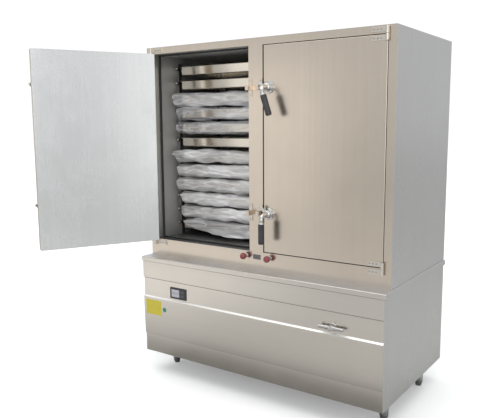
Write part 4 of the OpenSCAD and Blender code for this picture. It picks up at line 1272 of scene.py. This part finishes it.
@dataclass
class Wrap:
    """Film laid round a tray: over its top, down its front and back under its floor.
    """

    number: int
    low: Vector
    high: Vector
    drape: Drape
    columns: int = 120
    rows: int = 72
    flat: tuple[float, float] = (0.62, 0.80)
    reach: float = 299.0
    under_reach: float = 287.0
    top_gap: float = 3.0
    front_gap: float = 5.0
    bend: float = 10.0
    crumple: float = 0.92
    top_l: float = 366.0
    under_l: float = 340.0
    seed_step: float = 17.3
    end_start: float = 110.0
    end_run: float = 185.0
    turn: float = 42.0
    front_half: float = 92.0
    front_fade: float = 50.0
    pinch_half: float = 58.0
    pinch_fade: float = 26.0
    off: float = 1.2
    fold_out: float = 9.0
    skirt_middle: float = 0.58
    skirt_half: float = 0.4

    def build(self, body: str, node: str) -> None:
        """Drapes the film and lets it ride with its tray.

        Args:
            body: Body of the tray.
            node: CAD node that the film lies on.
        """
        form = Form()
        with form.shape() as bm:
            bmesh.ops.create_grid(bm, x_segments=self.columns, y_segments=self.rows, size=0.5)
            for vert in bm.verts:
                vert.co = self.draped(vert.co.x + 0.5, vert.co.y + 0.5)
            bmesh.ops.smooth_vert(bm, verts=bm.verts, factor=0.3, use_axis_x=True, use_axis_y=True,
                                  use_axis_z=True)
            bmesh.ops.recalc_face_normals(bm, faces=bm.faces)
        piece = form.make(node + "_film", self.drape.finish, body, smooth=75.0)
        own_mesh(piece)

    @property
    def face(self) -> float:
        """Height of the flat front of the wrap."""
        return self.high.z - self.low.z + 2 * self.top_gap - 2 * self.bend

    @property
    def middle(self) -> float:
        """Distance along the wrap to the middle of its front."""
        return self.top_l + math.pi * self.bend / 2 + self.face / 2

    def along(self, share: float) -> float:
        """Distance along the wrap, with most rows at the front.

        Args:
            share: Share of the film's rows, from the back of the tray's top.

        Returns:
            The distance from there.
        """
        front = self.top_l + math.pi * self.bend + self.face
        marks = ((0.0, 0.0), (0.17, self.top_l - 70.0), (0.83, front + 80.0), (1.0, front + self.under_l))
        for (a, s), (b, t) in zip(marks, marks[1:]):
            if share <= b:
                return s + (t - s) * (share - a) / (b - a)
        return front + self.under_l

    def section(self, along: float) -> tuple[Vector, Vector]:
        """Point and outward direction in the wrap's section, y forward negative, z from the rim.

        Args:
            along: Distance along the wrap.

        Returns:
            The point and the direction.
        """
        y_bend = self.low.y - self.front_gap + self.bend - (self.low.y + self.high.y) / 2
        depth = self.high.z - self.low.z
        quarter = math.pi * self.bend / 2
        if along < self.top_l:
            return Vector((0.0, y_bend + self.top_l - along, self.top_gap)), Vector(UP)
        along -= self.top_l
        for centre_z, start, straight in ((self.top_gap - self.bend, 0.0, self.face),
                                          (self.bend - depth - self.top_gap, 1.0, 0.0)):
            if along < quarter:
                angle = math.pi / 2 * (start + along / quarter)
                out = Vector((0.0, -math.sin(angle), math.cos(angle)))
                return Vector((0.0, y_bend, centre_z)) + out * self.bend, out
            along -= quarter
            if along < straight:
                return Vector((0.0, y_bend - self.bend, centre_z - along)), Vector(OUT)
            along -= straight
        return Vector((0.0, y_bend + along, -depth - self.top_gap)), Vector(DOWN)

    def fold(self, x: float, along: float, cell: tuple[float, float], slant: float, layer: float) -> float:
        """Height of the folds at a point of the film, in cells that run across it at a slant."""
        seed = self.seed_step * self.number
        return noise.noise(Vector((x / cell[0] + seed, along / cell[1] + x / slant, layer * seed)))

    def draped(self, across: float, down: float) -> Vector:
        """Where a point of the flat film comes to lie.

        Args:
            across: Share of the film's width, from its left end.
            down: Share of its length, from the back of the tray's top.

        Returns:
            The point, in millimetres.
        """
        drape = self.drape
        along = self.along(down)
        point, out = self.section(along)
        under = min(1.0, max(0.0, -point.z / (self.high.z - self.low.z)))
        reach = self.reach + (self.under_reach - self.reach) * under
        x = drape.short - reach + (2.0 * reach - drape.short) * across
        past = along - self.middle
        front = eased((self.front_half - abs(past)) / self.front_fade)
        below = eased(past / self.turn) * eased(1.5 - past / 110.0)
        above = eased(-past / self.turn) * eased(1.6 + past / 90.0)
        end = eased((-x - self.end_start) / self.end_run)
        seed = self.seed_step * self.number
        long_fold = self.fold(x, along, (150.0, 36.0), 230.0, 1.0)
        cross_fold = self.fold(x, along, (80.0, 24.0), -140.0, 2.0)
        wave = 0.5 + 1.1 * noise.noise(Vector((x / 110.0 + seed, 7.0, seed)))
        dip = 0.5 + 1.1 * noise.noise(Vector((x / 85.0 - seed, 31.0, 3.0 * seed)))
        lift = self.off + self.fold_out * front * (1.0 - below)
        point = point + out * (lift * (1.4 * abs(long_fold) + 0.5 * abs(cross_fold)))
        sag = drape.sag[0] + (drape.sag[1] - drape.sag[0]) * across
        point.z += drape.rise * above * wave - sag * below * (0.3 + 0.75 * dip)
        skirt = drape.skirt * below * eased(1.0 - abs(across - self.skirt_middle) / self.skirt_half)
        point.y -= drape.forward * end * end * front + skirt
        drawn = drape.pinch * end * end * eased((self.pinch_half - abs(past)) / self.pinch_fade)
        point.z += (drape.pinch_z - point.z) * drawn
        point.x = x + 4.0 * cross_fold * (1.0 - end)
        middle = (self.low + self.high) / 2
        return Vector((middle.x + point.x, middle.y + point.y, self.high.z + point.z))


@dataclass
class TrayLoad:
    """Racks and the twelve trays of the left chamber."""

    count: int = 12
    nose_r: float = 5.5
    nose_l: float = 13.0
    nose_in: float = 4.0
    rack_x: tuple[float, ...] = (51.0, 651.0)
    runner_front: float = -139.0
    rim_drop: float = 10.5

    def build(self) -> None:
        """Makes the racks' runner ends and every tray."""
        # The racks take near-black steel: painted shade inside the chamber.
        dress("tray_racks", PAINTED_SHADE_STEEL)
        form = Form()
        back = self.runner_front + self.nose_in
        for number in range(1, self.count + 1):
            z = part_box(f"tray_{number:02d}")[1].z / MM - self.rim_drop
            for x in (side * x for x in self.rack_x for side in (-1.0, 1.0)):
                form.bar((x, back - self.nose_l, z), (x, back, z), self.nose_r, 2.0, 16)
        form.make("runner_noses", CAST, CABINET, "tray_steel")
        drapes = self.drapes()
        for number in range(1, self.count + 1):
            Tray(number, drapes.get(number)).build()

    @staticmethod
    def drapes() -> dict[int, Drape]:
        """The wrapped trays and how their films hang.

        Returns:
            Each wrapped tray's number and its drape.
        """
        return {
            3: Drape(8.0, (16.0, 16.0), 50.0, 0.2),
            4: Drape(2.0, (13.0, 5.0), 14.0, 0.0, finish=CLEAR_FILM),
            5: Drape(3.0, (9.0, 6.0), 25.0, 0.3, finish=CLEAR_FILM),
            7: Drape(9.0, (7.0, 14.0), 66.0, 0.8, -8.0),
            8: Drape(4.0, (14.0, 13.0), 25.0, 0.3),
            9: Drape(5.0, (15.0, 15.0), 31.0, 0.2),
            10: Drape(3.0, (14.0, 13.0), 6.0, 0.25, short=10.0),
            11: Drape(4.0, (15.0, 11.0), 6.0, 0.2, short=10.0),
            12: Drape(6.0, (-6.0, 22.0), 0.0, 0.6, -6.0, short=24.0, skirt=70.0),
        }


@dataclass
class Base:
    """Lower box: countertop, front, sides, feet and what it holds."""

    counter_fold: float = 4.0
    panel_fold: float = 1.8
    wrap_fold: float = 2.0
    painted_shadow_z: float = 532.0
    screw_rows: tuple[float, ...] = (140.0, 384.0, 610.0)
    foot_x: float = 635.0
    foot_rows: tuple[float, ...] = (-209.0, 256.0)
    foot_r: float = 21.0
    flange_r: float = 40.0
    foot_h: float = 118.0

    def build(self) -> None:
        """Makes and dresses the pieces of the lower box."""
        counter = Softened("countertop", self.counter_fold)
        # One sheet in three colours: painted light on its upward faces and a painted warm reflection on its front.
        counter.mark(COUNTER_TOP_PAINTED_LIGHT, lambda face: face.normal.z > FACING)
        counter.mark(SIDE, lambda face: abs(face.normal.x) > FACING)
        counter.stand_in(BASE_PAINTED_REFLECTION, CABINET, "front_steel")
        front = Softened("front_panel", self.panel_fold)
        # The front panel is cut just under the apron. Its front faces above the cut take a dark colour: a painted
        # shadow of the gap.
        front.split(self.painted_shadow_z)
        front.mark(PAINTED_JOINT_SHADOW, lambda face: face.normal.y < -FACING and face.calc_center_median().z > self.painted_shadow_z)
        # The fold's upward-slanted faces take pale steel: a painted highlight.
        front.mark(PAINTED_FOLD_HIGHLIGHT, lambda face: face.normal.y < -0.3 and face.normal.z > 0.4)
        front.stand_in(BASE_PAINTED_REFLECTION, CABINET, "front_steel")
        Softened("base_wrap", self.wrap_fold).stand_in(SIDE, CABINET, "side_steel")
        for node, finish in (("base_floor", SIDE), ("base_frame", SIDE), ("water_tank", RACK_STEEL),
                             ("tank_lid", RACK_STEEL), ("heaters", BRASS)):
            dress(node, finish)
        self.feet()
        back_screws("base_back_screws", self.screw_rows)

    def feet(self) -> None:
        """Turned feet with an adjusting collar."""
        form = Form()
        r, flange, top = self.foot_r, self.flange_r, self.foot_h
        profile = [(0.0, 0.0), (13.4, 0.0), (15.0, 1.6), (r - 0.6, 25.0), (r, 27.0), (r, 33.0), (r - 1.6, 34.0),
                   (r - 1.6, 37.0), (r, 38.0), (r, top - 6.4), (r + 1.4, top - 5.0), (flange - 1.0, top - 5.0),
                   (flange, top - 4.0), (flange, top), (0.0, top)]
        for y in self.foot_rows:
            for x in (-self.foot_x, self.foot_x):
                form.lathe(profile, (x, y, 0.0), UP)
        form.make("feet_turned", RACK_STEEL, CABINET, HARDWARE, ["feet"])


@dataclass
class Services:
    """Water inlet, drain and cable gland."""

    inlet: tuple[float, float] = (500.0, 310.0)
    inlet_r: float = 10.5
    ridges: int = 8
    ridge_start: float = 8.5
    ridge_pitch: float = 2.0
    gland: tuple[float, float] = (-500.0, 260.0)
    gland_cap_r: float = 15.0
    gland_bore_r: float = 7.0
    gland_r: float = 10.0

    def build(self) -> None:
        """Dresses the valves and makes the thread and the gland."""
        dress("inlet_valve", BRASS)
        dress("drain_valve", BRASS)
        self.thread()
        self.cable_gland()

    def thread(self) -> None:
        """Thread ridges and locknut on the inlet stub."""
        form = Form()
        x, z = self.inlet
        r, root = self.inlet_r, self.inlet_r - 1.0
        profile = [(root, 0.0)]
        for i in range(self.ridges):
            start = self.ridge_start + self.ridge_pitch * i
            profile += [(r + 0.05, start), (r + 0.55, start + 0.8), (r + 0.05, start + 1.6)]
        profile += [(root, 24.8), (root, 0.0)]
        form.lathe(profile, (x, BACK_Y, z), BACK)
        form.bar((x, BACK_Y, z), (x, BACK_Y + 7.0, z), 17.0, 0.8, 6)
        form.make("inlet_thread", BRASS, CABINET, "fitting_brass")

    def cable_gland(self) -> None:
        """Gland with a domed cap nut, a clamp body and a locknut inside."""
        form = Form()
        x, z = self.gland
        bore, r, cap = self.gland_bore_r, self.gland_r, self.gland_cap_r
        form.lathe([(bore, -14.0), (r, -14.0), (r, -7.0), (cap, -7.0), (cap, -2.0), (r, -2.0), (r, 0.0),
                    (cap, 0.0), (cap, 6.0), (cap - 0.8, 6.6), (cap - 0.8, 7.4), (cap - 0.2, 8.0), (cap - 0.2, 13.0),
                    (cap - 2.4, 16.4), (cap - 5.4, 18.0), (bore, 18.0), (bore, -14.0)], (x, BACK_Y, z), BACK)
        form.make("power_gland_turned", GLAND_BLACK, CABINET, "bezel_plastic", ["power_gland"])


@dataclass
class Labels:
    """Blank stickers on the lower panel and a blank plate between the damper knobs."""

    sticker: tuple[float, float, float, float] = (-685.0, -573.0, 333.0, 416.0)
    dot: tuple[float, float, float] = (-551.0, 371.0, 13.0)
    plate: tuple[float, float, float, float] = (-19.0, 25.0, 705.0, 729.0)
    panel_top: tuple[float, float] = (-397.0, 428.0)
    panel_foot: tuple[float, float] = (-391.0, 218.0)
    thick: float = 0.25
    edge: float = 0.08
    corner: float = 2.0
    plate_t: float = 1.2
    plate_edge: float = 0.3
    plate_screw: float = 3.5
    screw_r: float = 1.6

    def on_panel(self, x: float, z: float) -> Matrix:
        """Matrix from an upright sheet at the origin to a point on the leaning panel.

        Args:
            x: Where along the panel.
            z: How high.

        Returns:
            The matrix.
        """
        (y1, z1), (y0, z0) = self.panel_top, self.panel_foot
        y = y0 + (y1 - y0) * (z - z0) / (z1 - z0)
        lean = math.atan2(y0 - y1, z1 - z0)
        return Matrix.Translation((x, y, z)) @ Matrix.Rotation(lean, 4, "X")

    def build(self) -> None:
        """Makes the two stickers and the plate."""
        x0, x1, z0, z1 = self.sticker
        half_w, half_h = (x1 - x0) / 2, (z1 - z0) / 2
        paper = Form(self.on_panel((x0 + x1) / 2, (z0 + z1) / 2))
        paper.tile((-half_w, -self.thick, -half_h), (half_w, 0.0, half_h), self.corner, self.edge)
        paper.make("blank_sticker", YELLOW, CABINET)
        x, z, r = self.dot
        spot = Form(self.on_panel(x, z))
        spot.bar((0.0, 0.0, 0.0), (0.0, -self.thick, 0.0), r, self.edge, 36)
        spot.make("round_sticker", GREEN, CABINET)
        x0, x1, z0, z1 = self.plate
        plate = Form()
        plate.tile((x0, FRONT_Y - self.plate_t, z0), (x1, FRONT_Y, z1), self.corner, self.plate_edge)
        for x in (x0 + self.plate_screw, x1 - self.plate_screw):
            plate.screw((x, FRONT_Y - self.plate_t, (z0 + z1) / 2), OUT, self.screw_r)
        plate.make("blank_plate", BLANK, CABINET)


@dataclass
class Studio:
    """Pale floor, soft lights and the camera."""

    eye: tuple[float, float, float] = (1.6715, -2.7854, 1.3706)
    yaw: float = 0.606044
    pitch: float = -0.138671
    roll: float = -0.006381
    lens: float = 44.45
    floor_size: float = 60.0
    sky_tint: Colour = (0.96, 0.98, 1.0)
    sky_light: float = 0.735
    sky_seen: float = 1.05

    def build(self) -> None:
        """Makes the floor, the lights and the camera."""
        self.floor()
        self.sky()
        self.softbox("left_window", (-4.1, -4.2, 1.1), (-0.2, -0.3, 1.0), (4.3, 2.2), 13.5, (1.0, 0.97, 0.92))
        self.softbox("right_wall", (4.6, -0.6, 1.7), (-0.6, -0.4, 1.3), (2.0, 3.0), 11.9)
        self.softbox("ceiling", (-0.6, -0.8, 4.8), (-0.6, -0.4, 0.0), (7.5, 5.5), 177.0)
        self.softbox("fill", (2.3, -3.9, 2.1), (-0.3, -0.2, 1.2), (2.9, 2.9), 44.0)
        self.camera()
        bpy.context.scene.view_settings.view_transform = "Standard"

    def floor(self) -> None:
        """Pale floor in two sheets: one that is seen and a greyer one that lights and is mirrored."""
        pale = SeenFloor("pale_floor", (0.9, 0.9, 0.895), (0.22, 0.6))
        grey = MirroredFloor("grey_floor", (0.31, 0.31, 0.305), (0.81, 0.81, 0.80), (-2.2, -2.0, 0.0), 0.5)
        seen = self.sheet("floor", 0.0, pale)
        seen.visible_glossy = False
        seen.visible_diffuse = False
        mirrored = self.sheet("floor_bounce", -0.001, grey)
        mirrored.visible_camera = False

    def sheet(self, name: str, height: float, finish: Finish) -> bpy.types.Object:
        """Adds a square sheet of floor.

        Args:
            name: Name of the sheet.
            height: Its height.
            finish: Its finish.

        Returns:
            The sheet.
        """
        mesh = bpy.data.meshes.new(name)
        bm = bmesh.new()
        level = Matrix.Translation((0.0, 0.0, height))
        bmesh.ops.create_grid(bm, x_segments=1, y_segments=1, size=self.floor_size / 2, matrix=level)
        bm.to_mesh(mesh)
        bm.free()
        mesh.materials.append(finish.material())
        return shown(name, mesh)

    def sky(self) -> None:
        """Even white surround, dimmer where it lights the object than where it is seen."""
        world = bpy.data.worlds.new("surround")
        world.use_nodes = True
        bpy.context.scene.world = world
        nodes = Nodes(world.node_tree)
        light = nodes.add("Background", inputs={"Color": (*self.sky_tint, 1.0), "Strength": self.sky_light})
        seen = nodes.add("Background", inputs={"Color": (1.0, 1.0, 1.0, 1.0), "Strength": self.sky_seen})
        ray = nodes.add("LightPath", output="Is Camera Ray")
        both = nodes.add("MixShader", inputs={0: ray, 1: light, 2: seen})
        nodes.add_output("OutputWorld", both)

    @staticmethod
    def softbox(name: str, at: Point, aim: Point, size: tuple[float, float], power: float,
                tint: Colour = (1.0, 1.0, 1.0)) -> None:
        """Adds an area light.

        Args:
            name: Name of the light.
            at: Its place.
            aim: Point that it faces.
            size: Width and height.
            power: Power in watts.
            tint: Colour of its light.
        """
        data = bpy.data.lights.new(name, "AREA")
        data.shape = "RECTANGLE"
        data.size, data.size_y = size
        data.energy = power
        data.color = tint
        light = shown(name, data)
        light.location = at
        light.rotation_mode = "QUATERNION"
        light.rotation_quaternion = (Vector(aim) - Vector(at)).to_track_quat("-Z", "Y")

    def camera(self) -> None:
        """Adds the camera at the photograph's place."""
        data = bpy.data.cameras.new("camera")
        data.lens = self.lens
        data.sensor_width = 36.0
        data.clip_end = 200.0
        camera = shown("camera", data)
        turn = (Matrix.Rotation(self.yaw, 4, "Z") @ Matrix.Rotation(math.pi / 2 + self.pitch, 4, "X")
                @ Matrix.Rotation(self.roll, 4, "Z"))
        camera.matrix_world = Matrix.Translation(self.eye) @ turn
        bpy.context.scene.camera = camera


def main() -> None:
    """Builds the cabinet's pieces in order, then the studio."""
    logging.basicConfig(level=logging.INFO, format="%(name)s %(message)s")
    Casing().build()
    Door(Side.RIGHT, {"upper": 19.0, "lower": 0.0}).build()
    Door(Side.LEFT, {"upper": 0.0, "lower": 0.0}).build()
    FrameHardware().build()
    Damper(Side.LEFT, 62.0).build()
    Damper(Side.RIGHT, 77.0).build()
    Base().build()
    ControlPanel().build()
    DrainCock().build()
    Services().build()
    TrayLoad().build()
    Labels().build()
    Studio().build()


if __name__ == "__main__":
    main()
